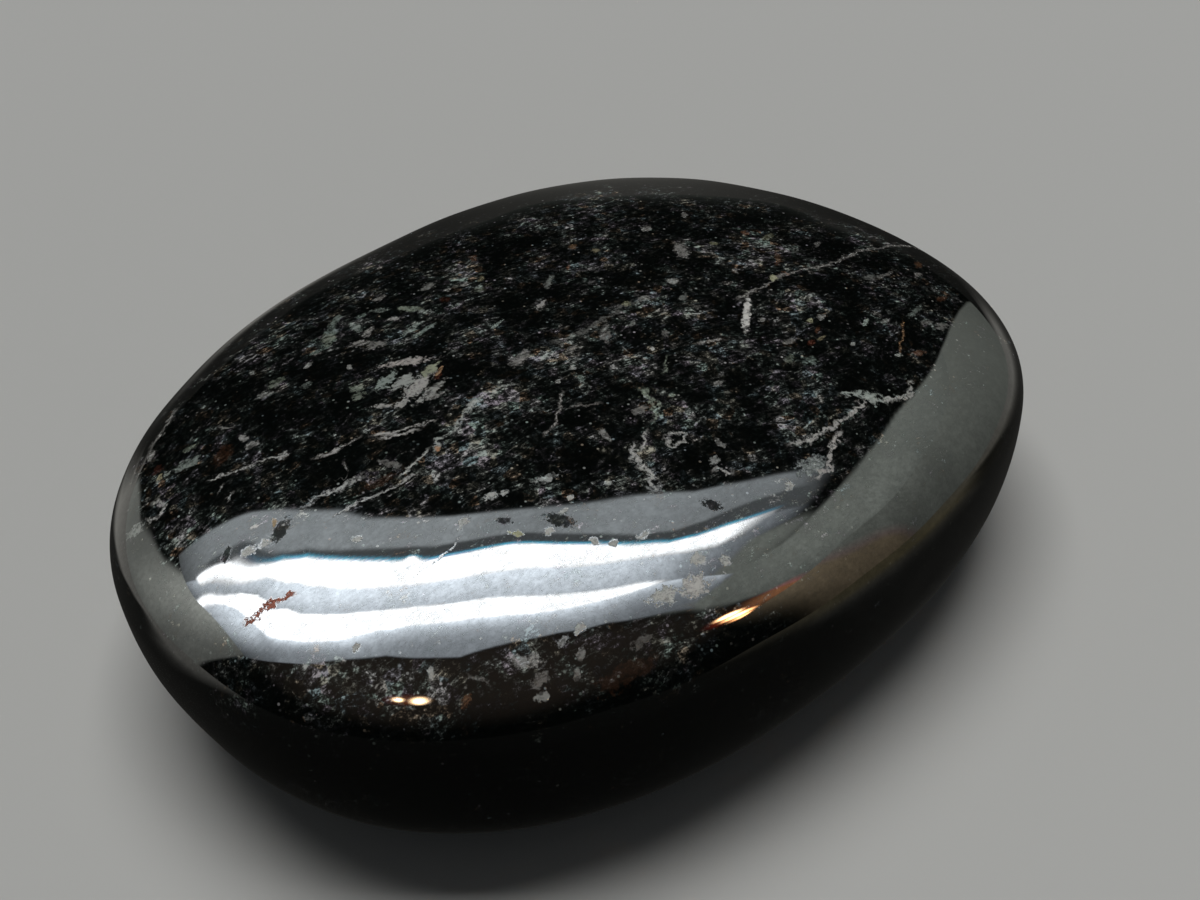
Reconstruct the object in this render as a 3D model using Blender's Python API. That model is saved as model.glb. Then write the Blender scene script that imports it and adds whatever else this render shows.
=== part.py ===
"""A tumbled, polished pebble of nuummite, lying on its small flat resting spot.

The stone's long axis runs along X and its top faces +Z. The origin is the bottom centre of its box.
"""

import bmesh
import bpy
import numpy as np

# Driving dimensions in metres
LENGTH = 0.050
WIDTH = 0.0376
THICKNESS = 0.0148
RIM_HEIGHT = 0.0086
TOP_DOME = 0.00075
UNDER_DOME = 0.0008
FLAT_DEPTH = 0.0001

# Outline seen from above: squareness of the oval, how much broader its +X end is, and its bend
OUTLINE_POWER = 2.3
END_TAPER = 0.065
SIDE_BEND = -0.024

# Section: a high reach power keeps a face flat for longer, a high rise power keeps the wall upright
TOP_REACH_POWER = 2.55
TOP_RISE_POWER = 2.4
UNDER_REACH_POWER = 8.0
UNDER_RISE_POWER = 2.2

# The top is shifted sideways over the base, and it falls slightly towards +X and +Y
LEAN_Y = 0.084
TOP_FALL_X = 0.055
TOP_FALL_Y = 0.046

# Facets round the outline, and from the middle of the top to the middle of the underside
SEGMENTS_ROUND = 72
SEGMENTS_OVER = 40

STONE_COLOUR = (0.0033, 0.0036, 0.0039, 1.0)
STONE_ROUGHNESS = 0.07


def signed_power(values, power):
    """Raises each value to a power and keeps its sign."""
    return np.sign(values) * np.abs(values) ** power


def outline(cosine, sine):
    """Rim of the stone seen from above: an oval whose +X end is the broader one."""
    along = signed_power(cosine, 2.0 / OUTLINE_POWER)
    across = signed_power(sine, 2.0 / OUTLINE_POWER)
    x = LENGTH / 2.0 * along
    y = WIDTH / 2.0 * (across * (1.0 + END_TAPER * along) + SIDE_BEND * along ** 2)
    return x, y


def height(reach, is_top):
    """Height of the skin where reach is 0 at the middle of the stone and 1 at its rim."""
    shoulder = THICKNESS - RIM_HEIGHT - TOP_DOME
    tuck = RIM_HEIGHT - UNDER_DOME
    above = (1.0 - reach ** TOP_REACH_POWER) ** (1.0 / TOP_RISE_POWER)
    below = (1.0 - reach ** UNDER_REACH_POWER) ** (1.0 / UNDER_RISE_POWER)
    top = RIM_HEIGHT + TOP_DOME * (1.0 - reach ** 2) + shoulder * above
    under = UNDER_DOME * reach ** 2 + tuck * (1.0 - below)
    return np.where(is_top, top, under)


def stone_points(ball):
    """Moves the points of a ball of radius 1 onto the skin of the stone."""
    reach = np.clip(np.hypot(ball[:, 0], ball[:, 1]), 0.0, 1.0)
    turn = np.arctan2(ball[:, 1], ball[:, 0])
    rim_x, rim_y = outline(np.cos(turn), np.sin(turn))
    flat_x = reach * rim_x
    flat_y = reach * rim_y
    z = height(reach, ball[:, 2] >= 0.0)
    y = flat_y + LEAN_Y * (z - RIM_HEIGHT)
    z = z * (1.0 - (TOP_FALL_X * flat_x + TOP_FALL_Y * flat_y) / THICKNESS)
    z = np.maximum(z, FLAT_DEPTH)
    points = np.stack([flat_x, y, z], axis=1)
    low = points.min(axis=0)
    high = points.max(axis=0)
    return points - np.array([(low[0] + high[0]) / 2.0, (low[1] + high[1]) / 2.0, low[2]])


def stone_mesh():
    """Ball of even rings, pulled out to the shape of the stone."""
    ball = bmesh.new()
    bmesh.ops.create_uvsphere(
        ball, u_segments=SEGMENTS_ROUND, v_segments=SEGMENTS_OVER, radius=1.0
    )
    places = np.array([vertex.co for vertex in ball.verts])
    for vertex, place in zip(ball.verts, stone_points(places)):
        vertex.co = place
    bmesh.ops.recalc_face_normals(ball, faces=ball.faces)
    mesh = bpy.data.meshes.new("stone")
    ball.to_mesh(mesh)
    ball.free()
    mesh.shade_smooth()
    return mesh


def polished_nuummite():
    """Black amphibole rock with a high tumbled polish."""
    material = bpy.data.materials.new("polished nuummite")
    material.use_nodes = True
    skin = material.node_tree.nodes["Principled BSDF"]
    skin.inputs["Base Color"].default_value = STONE_COLOUR
    skin.inputs["Roughness"].default_value = STONE_ROUGHNESS
    skin.inputs["Metallic"].default_value = 0.0
    return material


def build():
    """Empties the scene and makes the stone in its own collection."""
    for old in list(bpy.data.objects):
        bpy.data.objects.remove(old, do_unlink=True)
    group = bpy.data.collections.new("tumbled_nuummite")
    bpy.context.scene.collection.children.link(group)
    stone = bpy.data.objects.new("stone", stone_mesh())
    stone.data.materials.append(polished_nuummite())
    group.objects.link(stone)


build()
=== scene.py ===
# %% [markdown]
# # A tumbled nuummite
# The object is one pebble of nuummite, a black amphibole rock, tumbled until it shines like glass.
# This lesson loads the imported solid first, because every surface made below has to lie where that solid
# lies. The solid's box is kept, and the skin is fitted into it.

# %% Load the frame
import math

import bpy
import numpy as np
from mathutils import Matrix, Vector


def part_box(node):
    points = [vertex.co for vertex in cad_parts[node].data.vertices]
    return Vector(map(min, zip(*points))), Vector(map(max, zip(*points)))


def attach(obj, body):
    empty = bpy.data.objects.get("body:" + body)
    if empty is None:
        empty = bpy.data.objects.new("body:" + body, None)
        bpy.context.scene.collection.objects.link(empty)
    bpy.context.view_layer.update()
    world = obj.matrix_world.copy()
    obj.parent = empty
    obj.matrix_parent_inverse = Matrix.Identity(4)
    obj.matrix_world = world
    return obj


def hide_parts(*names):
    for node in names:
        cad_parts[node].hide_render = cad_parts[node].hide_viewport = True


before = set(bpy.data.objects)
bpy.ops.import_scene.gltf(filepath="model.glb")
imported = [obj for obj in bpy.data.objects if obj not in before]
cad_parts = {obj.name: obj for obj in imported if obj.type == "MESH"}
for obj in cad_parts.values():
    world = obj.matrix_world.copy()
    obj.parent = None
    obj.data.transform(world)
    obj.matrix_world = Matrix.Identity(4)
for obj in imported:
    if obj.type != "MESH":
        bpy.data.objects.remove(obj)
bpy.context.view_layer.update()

STONE_LOW, STONE_HIGH = (np.array(corner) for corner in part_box("stone"))
print("stone measures", np.round((STONE_HIGH - STONE_LOW) * 1000.0, 2), "mm")

# %% [markdown]
# ## Where the viewer stands
# The picture was taken close to the stone, less than two stone lengths away, looking down by about
# forty degrees across its long axis. The same three directions place the lights later on:
# RIGHT and BEYOND lie flat on the table as the viewer sees them, and UP is the world's own.

# %% Camera
MM = 0.001
VIEW_AZIMUTH = math.radians(-47.15)
VIEW_ELEVATION = math.radians(40.5)
VIEW_DISTANCE = 87.1 * MM
VIEW_AIM = np.array([6.03, 4.5, 0.0]) * MM
VIEW_ANGLE = math.radians(44.6)
SENSOR_WIDTH = 36.0

RIGHT = np.array([math.cos(VIEW_AZIMUTH), math.sin(VIEW_AZIMUTH), 0.0])
BEYOND = np.array([-math.sin(VIEW_AZIMUTH), math.cos(VIEW_AZIMUTH), 0.0])
UP = np.array([0.0, 0.0, 1.0])

view_back = -BEYOND * math.cos(VIEW_ELEVATION) + UP * math.sin(VIEW_ELEVATION)
camera_data = bpy.data.cameras.new("viewer")
camera_data.sensor_width = SENSOR_WIDTH
camera_data.lens = SENSOR_WIDTH / 2.0 / math.tan(VIEW_ANGLE / 2.0)
camera_data.clip_start = 1.0 * MM
camera = bpy.data.objects.new("viewer", camera_data)
camera.location = VIEW_AIM + VIEW_DISTANCE * view_back
camera.rotation_euler = (math.pi / 2.0 - VIEW_ELEVATION, 0.0, VIEW_AZIMUTH)
bpy.context.scene.collection.objects.link(camera)
bpy.context.scene.camera = camera
bpy.context.scene.view_settings.view_transform = "Standard"
print("lens", round(camera_data.lens, 1), "mm at", np.round(np.array(camera.location) / MM, 1), "mm")

# %% [markdown]
# ## Colours
# Colours are written as the hex values that a colour picker shows. The renderer adds up light, so one
# function turns each of them into linear values.

# %% Linear colour
def linear(hex_colour):
    """Linear RGBA of an sRGB hex colour: ((c + 0.055) / 1.055) ** 2.4 above the dark toe."""
    parts = np.array([int(hex_colour[i:i + 2], 16) for i in (1, 3, 5)]) / 255.0
    light = np.where(parts <= 0.04045, parts / 12.92, ((parts + 0.055) / 1.055) ** 2.4)
    return (*light.tolist(), 1.0)


print("a mid grey #808080 reflects", round(linear("#808080")[0], 3), "of the light")

# %% [markdown]
# ## One helper for every node
# A shader is a tree of nodes, and one function adds a node of any kind. Its inputs are filled in
# order, or by their names, which start with a capital letter: another node's output is linked and
# anything else is set. Names in small letters are the node's settings.

# %% Adding a node
def add(tree, kind, *ordered, out="", stops=(), **named):
    """Adds one node with its settings, inputs and colour stops, and gives the output named out."""
    made = tree.nodes.new("ShaderNode" + kind)
    for name in [name for name in named if name[0].islower()]:
        setattr(made, name, named.pop(name))
    sockets = [socket for socket in made.inputs if socket.enabled]
    by_name = {socket.name.replace(" ", "_"): socket for socket in sockets}
    filled = list(zip(sockets, ordered))
    filled += [(by_name[name], value) for name, value in named.items()]
    for socket, value in filled:
        if isinstance(value, bpy.types.NodeSocket):
            tree.links.new(value, socket)
        else:
            socket.default_value = value
    if stops:
        elements = made.color_ramp.elements
        elements.remove(elements[1])
        elements[0].color = linear(stops[0][1])
        for place, colour in stops[1:]:
            elements.new(place).color = linear(colour)
    outputs = [socket for socket in made.outputs if socket.enabled and out in ("", socket.name)]
    return outputs[0] if outputs else None


node_kinds = [name for name in dir(bpy.types) if name.startswith("ShaderNode")]
print(len(node_kinds), "kinds of node can be added")

# %% [markdown]
# ## The shape of the pebble
# Tumbling wears a flat piece of rock into an oval with a nearly level top, a soft shoulder and a
# wall that tucks in under the widest line, the rim. The skin could be sculpted, but a formula keeps
# it exactly on the solid: an oval outline, a height for every reach from the middle to the rim, a
# sideways lean, and a top that falls a little towards one end.

# %% Outline
LENGTH = 50.0 * MM
WIDTH = 37.6 * MM
OUTLINE_POWER = 2.3
END_TAPER = 0.065
SIDE_BEND = -0.024


def outline(turn):
    """Superellipse of power 2.3: sign(c)·|c|^(2/p) along X, the same of s across Y, plus taper."""
    along = np.sign(np.cos(turn)) * np.abs(np.cos(turn)) ** (2.0 / OUTLINE_POWER)
    across = np.sign(np.sin(turn)) * np.abs(np.sin(turn)) ** (2.0 / OUTLINE_POWER)
    x = LENGTH / 2.0 * along
    y = WIDTH / 2.0 * (across * (1.0 + END_TAPER * along) + SIDE_BEND * along ** 2)
    return x, y


print("outline", LENGTH / MM, "mm long and", WIDTH / MM, "mm wide")

# %% [markdown]
# ## The section
# Reach is 0 in the middle of the stone and 1 at its rim. The higher its power, the longer a face
# stays flat before it bends, and the higher the power of the rise, the more upright the wall stands.

# %% Height
THICKNESS = 14.8 * MM
RIM_HEIGHT = 8.6 * MM
TOP_DOME = 0.75 * MM
UNDER_DOME = 0.8 * MM
TOP_REACH_POWER = 2.55
TOP_RISE_POWER = 2.4
UNDER_REACH_POWER = 8.0
UNDER_RISE_POWER = 2.2


def top_height(reach):
    """Rim height, plus a shallow dome, plus a shoulder (1 - reach^p)^(1/q)."""
    shoulder = THICKNESS - RIM_HEIGHT - TOP_DOME
    rise = (1.0 - reach ** TOP_REACH_POWER) ** (1.0 / TOP_RISE_POWER)
    return RIM_HEIGHT + TOP_DOME * (1.0 - reach ** 2) + shoulder * rise


def under_height(reach):
    """A shallow dish, plus a wall 1 - (1 - reach^p)^(1/q) that climbs to the rim."""
    rise = 1.0 - (1.0 - reach ** UNDER_REACH_POWER) ** (1.0 / UNDER_RISE_POWER)
    return UNDER_DOME * reach ** 2 + (RIM_HEIGHT - UNDER_DOME) * rise


print("half way out the top is", round(float(top_height(0.5)) / MM, 2), "mm high")

# %% [markdown]
# ## A grid without poles
# A globe's rings would crowd at the middle of the top, just where the polish shows every dent. So a
# square grid is bent onto a disk instead, which keeps all its squares about the same size. The
# steps from the middle to the rim are made equal along the section, so the steep wall gets as many
# squares for its length as the level top.

# %% Square grid bent onto a disk
GRID = 220
SECTION_STEPS = 4001
RIM_CROWDING = 2.5


def disk_grid():
    """Disk from a square: x = u·sqrt(1 - v²/2) and y = v·sqrt(1 - u²/2), as radius and angle."""
    side = np.linspace(-1.0, 1.0, GRID + 1)
    u, v = np.meshgrid(side, side, indexing="ij")
    x = u * np.sqrt(1.0 - v ** 2 / 2.0)
    y = v * np.sqrt(1.0 - u ** 2 / 2.0)
    return np.clip(np.hypot(x, y), 0.0, 1.0), np.arctan2(y, x)


def even_reach(radius, height):
    """Reach whose length along the section (x, height) is the given share of the whole length."""
    fine = 1.0 - (1.0 - np.linspace(0.0, 1.0, SECTION_STEPS)) ** RIM_CROWDING
    run = np.hypot(np.diff(fine) * (LENGTH + WIDTH) / 4.0, np.diff(height(fine)))
    share = np.concatenate([[0.0], np.cumsum(run)])
    return np.interp(radius, share / share[-1], fine)


print("grid of", GRID, "squares a side, about", round(60.0 / GRID, 2), "mm each")

# %% [markdown]
# ## Lean and tilt
# The photographed stone isn't level. Its top is shifted sideways over its base, and it falls a little
# towards one end and one side. The underside ends in a small flat, on which the stone rests.

# %% Upper and lower half
LEAN_Y = 0.084
TOP_FALL_X = 0.055
TOP_FALL_Y = 0.046
FLAT_DEPTH = 0.1 * MM


def cap(height):
    """One half of the skin: the outline shrunk by reach, lifted to its height, leant and tilted."""
    radius, turn = disk_grid()
    reach = even_reach(radius, height)
    rim_x, rim_y = outline(turn)
    x = reach * rim_x
    z = height(reach)
    y = reach * rim_y + LEAN_Y * (z - RIM_HEIGHT)
    z = z * (1.0 - (TOP_FALL_X * x + TOP_FALL_Y * reach * rim_y) / THICKNESS)
    return np.stack([x, y, np.maximum(z, FLAT_DEPTH)], axis=-1)


top_cap = cap(top_height)
under_cap = cap(under_height)
print("middle of the top lies", round(float(top_cap[GRID // 2, GRID // 2, 2]) / MM, 2), "mm up")

# %% [markdown]
# ## Joining the two halves
# Both halves end on the same rim points, so the lower half borrows the upper half's numbers there
# and the skin is closed without a seam. The joined points are then fitted to the solid's own box.

# %% Closed skin
def number_grids():
    """Vertex numbers of both grids: the lower one shares the upper one's border."""
    upper = np.arange((GRID + 1) ** 2).reshape(GRID + 1, GRID + 1)
    lower = upper.copy()
    inside = (GRID - 1) ** 2
    lower[1:-1, 1:-1] = upper.size + np.arange(inside).reshape(GRID - 1, GRID - 1)
    return upper, lower


def squares(numbers, flip):
    """Four-sided faces of a grid of vertex numbers, turned over where the grid faces down."""
    corners = [numbers[:-1, :-1], numbers[1:, :-1], numbers[1:, 1:], numbers[:-1, 1:]]
    faces = np.stack(corners, axis=-1).reshape(-1, 4)
    return faces[:, ::-1] if flip else faces


upper, lower = number_grids()
skin = np.concatenate([top_cap.reshape(-1, 3), under_cap[1:-1, 1:-1].reshape(-1, 3)])
skin_low, skin_high = skin.min(axis=0), skin.max(axis=0)
skin = STONE_LOW + (skin - skin_low) * (STONE_HIGH - STONE_LOW) / (skin_high - skin_low)
skin_faces = np.concatenate([squares(upper, False), squares(lower, True)])
is_top = np.arange(len(skin)) < upper.size
print(len(skin), "points and", len(skin_faces), "squares")

# %% [markdown]
# ## Getting the skin into Blender
# The arrays go into the mesh in one call each. Smooth shading is set for all faces, because the
# polish has to bend a reflection without showing a facet.

# %% Mesh from arrays
def mesh_object(name, points, faces):
    """Object at the origin whose mesh holds the given points and four-sided faces."""
    mesh = bpy.data.meshes.new(name)
    mesh.vertices.add(len(points))
    mesh.vertices.foreach_set("co", points.astype(np.float32).ravel())
    mesh.loops.add(faces.size)
    mesh.loops.foreach_set("vertex_index", faces.astype(np.int32).ravel())
    mesh.polygons.add(len(faces))
    mesh.polygons.foreach_set("loop_start", np.arange(len(faces), dtype=np.int32) * 4)
    mesh.polygons.foreach_set("loop_total", np.full(len(faces), 4, dtype=np.int32))
    mesh.polygons.foreach_set("use_smooth", np.ones(len(faces), dtype=bool))
    mesh.update(calc_edges=True)
    made = bpy.data.objects.new(name, mesh)
    bpy.context.scene.collection.objects.link(made)
    return made


stone = mesh_object("polished_stone", skin, skin_faces)
normals = np.empty(len(skin) * 3, dtype=np.float32)
stone.data.vertices.foreach_get("normal", normals)
normals = normals.reshape(-1, 3).astype(float)
print("share of the skin that faces up:", round(float((normals[:, 2] > 0.0).mean()), 2))

# %% [markdown]
# ## What tumbling leaves uneven
# A tumbled face is never quite true. It swells and dips by about a hundredth of a millimetre over
# several millimetres, which is too little to see as shape but enough to make the edges of every
# reflection wander. Waves in random directions give that swell.

# %% Swell
SWELL_COUNT = 18
SWELL_LENGTHS = (5.0 * MM, 13.0 * MM)
SWELL_DEPTH = 0.0045 * MM
SWELL_SEED = 11


def swell(points):
    """Sum of sines: depth · sin(2·pi·(direction · point) / length + phase) for random waves."""
    random = np.random.default_rng(SWELL_SEED)
    total = np.zeros(len(points))
    for _ in range(SWELL_COUNT):
        direction = random.normal(size=3)
        direction /= np.linalg.norm(direction)
        length = random.uniform(*SWELL_LENGTHS)
        phase = random.uniform(0.0, 2.0 * math.pi)
        depth = SWELL_DEPTH * length / SWELL_LENGTHS[0]
        total += depth * np.sin(2.0 * math.pi * (points @ direction) / length + phase)
    return total


lift = swell(skin)
print("swell reaches", round(float(np.abs(lift).max() / MM), 3), "mm")

# %% [markdown]
# ## Pits
# Softer grains have been plucked out here and there, which leaves small pits. Each is an oval bowl.
# The resting spot stays flat, and nothing may leave the box of the solid.

# %% Pits
# Each pit: middle x, middle y, half length, half width, angle in degrees, depth (all lengths in mm)
PITS = [
    (-16.7, -6.0, 0.32, 0.28, 0, 0.010),
    (-21.6, -2.72, 0.90, 0.28, -22, 0.008),
    (-20.6, -3.15, 0.50, 0.28, -12, 0.006),
]
FLAT_MARGIN = 0.3 * MM


def oval_distance(x, y, middle_x, middle_y, half_length, half_width, degrees):
    """Distance from an oval's middle, measured so that 1 is its edge."""
    turn = math.radians(degrees)
    along = (x - middle_x) * math.cos(turn) + (y - middle_y) * math.sin(turn)
    across = (y - middle_y) * math.cos(turn) - (x - middle_x) * math.sin(turn)
    return np.hypot(along / half_length, across / half_width)


skin_x, skin_y = skin[:, 0] / MM, skin[:, 1] / MM
for *oval, depth in PITS:
    bowl = np.clip(1.0 - oval_distance(skin_x, skin_y, *oval) ** 2, 0.0, 1.0)
    lift -= depth * MM * bowl * is_top
off_flat = np.clip((skin[:, 2] - STONE_LOW[2]) / FLAT_MARGIN, 0.0, 1.0)
worn = skin + normals * (lift * off_flat)[:, None]
worn = np.clip(worn, STONE_LOW, STONE_HIGH)
stone.data.vertices.foreach_set("co", worn.astype(np.float32).ravel())
stone.data.update()
print(len(PITS), "pits, the skin moves by up to", round(float(np.abs(worn - skin).max() / MM), 3), "mm")

# %% [markdown]
# ## Veins
# Thin seams of a paler mineral run through the rock. Their width is far below the size of a square
# of the grid, so they can't be painted point by point. Instead each point stores how far it lies
# from the nearest seam, counted in half widths and negative on one side. Between two points that
# number runs straight through zero, so the shader finds the seam as thin and sharp as it should be.
# Neighbouring seams go into different sets, because the number can only follow one of them.

# %% Courses of the veins
# Each vein: half width in mm, strength, tint from 0 grey to 1 rust, and its course in mm
VEIN_SETS = [
    [
        (0.11, 0.75, 0.20, [(-18.9, 5.2), (-17.9, 4.5), (-16.9, 4.0), (-16.3, 3.6), (-15.9, 3.1)]),
        (0.10, 1.00, 0.25, [(-13.9, -2.05), (-13.0, -2.05), (-12.2, -1.9), (-11.7, -1.75)]),
        (0.08, 0.55, 0.10, [(-7.9, -5.05), (-7.0, -4.8), (-6.4, -4.4), (-5.6, -3.8), (-4.9, -3.3)]),
        (0.18, 0.75, 0.50, [(-2.1, -5.7), (-2.5, -6.3), (-2.6, -6.9), (-3.1, -7.5), (-3.6, -7.7)]),
        (0.15, 0.95, 0.15, [(0.2, -12.5), (1.0, -12.9), (2.5, -13.0), (3.6, -13.1), (4.6, -13.1),
                            (6.1, -12.9)]),
        (0.13, 0.50, 0.15, [(7.0, -4.0), (9.5, -4.0), (10.6, -3.8), (12.5, -4.1), (13.4, -4.4), (15.0, -4.6),
                            (17.0, -4.4), (19.0, -4.6), (22.0, -4.9), (24.2, -5.3)]),
        (0.07, 0.55, 0.75, [(10.1, -11.9), (11.3, -11.3), (12.9, -10.3)]),
        (0.13, 0.55, 0.20, [(-18.5, 10.6), (-17.7, 10.9), (-16.9, 11.4), (-16.0, 12.1)]),
        (0.10, 0.80, 0.15, [(-12.9, 1.05), (-12.2, 0.45), (-11.5, 0.05), (-10.9, -0.3), (-10.2, -0.6)]),
        (0.13, 1.60, 1.00, [(-22.7, -2.3), (-22.0, -2.6), (-21.3, -2.8), (-20.9, -3.1), (-20.4, -3.2)]),
        (0.07, 0.45, 0.20, [(-16.3, 8.0), (-16.2, 7.5), (-15.9, 7.0)]),
    ],
    [
        (0.10, 0.50, 0.10, [(-15.5, 2.0), (-14.5, 1.5), (-13.5, 1.4), (-13.0, 1.2)]),
        (0.09, 0.60, 0.15, [(-17.2, -1.5), (-16.0, -1.8), (-15.0, -2.2), (-14.0, -2.4), (-13.0, -2.5)]),
        (0.13, 0.70, 0.30, [(-11.9, -2.2), (-11.5, -1.9), (-11.2, -1.6), (-10.6, -1.7), (-9.9, -1.6),
                            (-9.2, -1.2), (-8.4, -1.0), (-7.5, -0.9), (-6.5, -1.1), (-5.9, -1.5)]),
        (0.09, 0.90, 0.20, [(-4.1, -7.8), (-4.8, -8.2), (-5.5, -8.7)]),
        (0.18, 0.90, 0.10, [(-3.9, -11.3), (-3.5, -11.7), (-3.1, -12.1)]),
        (0.20, 1.10, 0.35, [(4.8, -11.9), (5.4, -12.3), (6.0, -12.8), (6.7, -13.6)]),
        (0.13, 0.95, 0.10, [(3.1, -13.4), (2.0, -13.7), (1.3, -14.1), (0.7, -14.5), (-0.3, -14.4)]),
        (0.10, 0.60, 0.15, [(2.3, -5.2), (2.9, -5.5), (3.8, -5.9)]),
        (0.08, 0.50, 0.20, [(-2.3, -3.4), (-1.6, -3.5), (-0.6, -3.7)]),
        (0.08, 0.70, 0.20, [(-19.2, 3.2), (-18.6, 3.5)]),
        (0.08, 0.55, 0.20, [(-21.6, 4.35), (-21.0, 4.4)]),
        (0.05, 0.35, 0.20, [(-16.7, -6.7), (-14.9, -6.7), (-14.2, -6.5)]),
        (0.20, 0.30, 0.25, [(-2.6, -0.3), (-1.5, -0.5), (-0.4, -0.7), (0.9, -0.6), (2.6, -0.4),
                            (3.8, -0.7)]),
        (0.08, 0.45, 0.20, [(-18.3, -10.9), (-18.0, -11.5), (-17.8, -11.9)]),
    ],
    [
        (0.08, 0.70, 0.15, [(-12.9, 0.75), (-12.4, 0.2), (-11.7, -0.2), (-11.1, -0.5)]),
        (0.14, 0.55, 0.20, [(-17.6, 0.0), (-16.6, -0.1), (-16.0, -0.5), (-15.2, -0.6), (-14.6, -0.9)]),
        (0.09, 0.40, 0.10, [(-5.8, -4.3), (-5.0, -4.8), (-4.3, -5.3)]),
        (0.20, 0.85, 0.20, [(-5.2, -7.9), (-5.7, -8.4), (-6.0, -8.9), (-5.9, -9.5), (-6.3, -10.1),
                            (-6.8, -10.6)]),
        (0.11, 0.85, 0.20, [(-3.9, -8.6), (-3.2, -8.8), (-3.0, -9.2), (-3.5, -9.4), (-4.1, -9.2),
                            (-3.9, -8.6)]),
        (0.13, 0.80, 0.20, [(6.7, -13.6), (7.6, -13.9), (8.2, -13.9), (9.1, -13.3)]),
        (0.08, 0.70, 0.20, [(-19.1, 4.0), (-18.6, 4.35)]),
        (0.10, 0.55, 0.50, [(-0.7, -5.8), (0.0, -5.3), (0.7, -4.8)]),
        (0.06, 0.80, 0.25, [(-0.35, -2.9), (-0.6, -3.5)]),
        (0.06, 0.45, 0.15, [(-14.7, 0.7), (-15.0, -0.1)]),
        (0.11, 0.60, 0.20, [(-21.5, 6.5), (-21.5, 6.0), (-21.1, 5.7), (-20.7, 6.0), (-20.7, 6.6),
                            (-21.0, 6.9)]),
    ],
]
print(sum(len(veins) for veins in VEIN_SETS), "veins in", len(VEIN_SETS), "sets")

# %% [markdown]
# ## From a course to three numbers a point
# For every point the nearest piece of every course is found, as whole arrays. Three numbers are
# kept: the signed distance in half widths, a strength that fades at the ends of the vein and far
# from it, and the tint of its mineral.

# %% Vein attributes
VEIN_SIGHT = 0.7
VEIN_END = 0.35


def vein_numbers(veins, x, y):
    """Signed distance over half width, strength and tint of the nearest vein of one set."""
    best = np.full(x.shape, np.inf)
    numbers = np.zeros((len(x), 3))
    for half_width, strength, tint, course in veins:
        points = np.array(course)
        steps = np.hypot(*np.diff(points, axis=0).T)
        total, walked = steps.sum(), 0.0
        for start, end, step in zip(points[:-1], points[1:], steps):
            ahead = (end - start) / step
            along = np.clip((x - start[0]) * ahead[0] + (y - start[1]) * ahead[1], 0.0, step)
            off_x, off_y = x - start[0] - ahead[0] * along, y - start[1] - ahead[1] * along
            distance = np.hypot(off_x, off_y)
            side = np.where(ahead[0] * off_y - ahead[1] * off_x < 0.0, -1.0, 1.0)
            ends = np.minimum(walked + along, total - walked - along) / min(VEIN_END, total / 2.0)
            fade = np.clip(ends, 0.0, 1.0) * np.clip(1.0 - distance / VEIN_SIGHT, 0.0, 1.0)
            nearer = distance < best
            best = np.where(nearer, distance, best)
            found = (side * distance / half_width, strength * fade, np.full(x.shape, tint))
            numbers = np.where(nearer[:, None], np.stack(found, axis=-1), numbers)
            walked += step
    return numbers


def store(name, numbers):
    """Keeps one number or three numbers for each vertex of the stone, under a name."""
    kind = "FLOAT_VECTOR" if numbers.ndim == 2 else "FLOAT"
    made = stone.data.attributes.new(name, kind, "POINT")
    made.data.foreach_set("vector" if numbers.ndim == 2 else "value", numbers.astype(np.float32).ravel())


for index, veins in enumerate(VEIN_SETS):
    found = vein_numbers(veins, skin_x, skin_y)
    found[~is_top, 1] = 0.0
    store("vein_" + str(index + 1), found)
print(len(VEIN_SETS), "sets of veins stored at", len(skin), "points")

# %% [markdown]
# ## Flakes, blebs and spots
# Pale flakes of another amphibole lie in the black ground, from tiny chips to one patch three
# millimetres long. Each is drawn as an oval or a few overlapping ovals, and the shader tears their
# edges with noise. The largest lie on the left of the top.

# %% Flakes
# Each flake: middle x, middle y, half length, half width (mm), angle in degrees, tint, brightness
BIG_FLAKE = [
    (-8.1, 3.9, 1.20, 0.30, -40, 0.05, 0.85), (-9.8, 3.5, 0.80, 0.32, 20, 0.40, 0.62),
    (-9.3, 2.7, 0.70, 0.42, 0, 0.30, 0.66), (-9.0, 2.0, 1.20, 0.36, 15, 0.18, 0.72),
    (-7.9, 2.5, 0.70, 0.26, 10, 0.55, 0.74), (-9.1, 1.15, 1.00, 0.22, 8, 0.25, 0.60),
    (-9.2, 0.8, 0.50, 0.20, -20, 0.20, 0.50), (-10.5, 1.55, 0.40, 0.20, 0, 0.20, 0.60),
    (-7.7, 2.05, 0.35, 0.14, 20, 0.75, 0.70), (-7.95, 1.8, 0.35, 0.15, 20, 1.00, 0.30),
    (-10.9, 4.2, 0.32, 0.30, 0, 0.50, 0.45), (-11.3, 3.6, 0.35, 0.25, 0, 0.50, 0.40),
    (-11.1, 2.1, 0.45, 0.16, -50, 0.15, 0.60),
]
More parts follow.
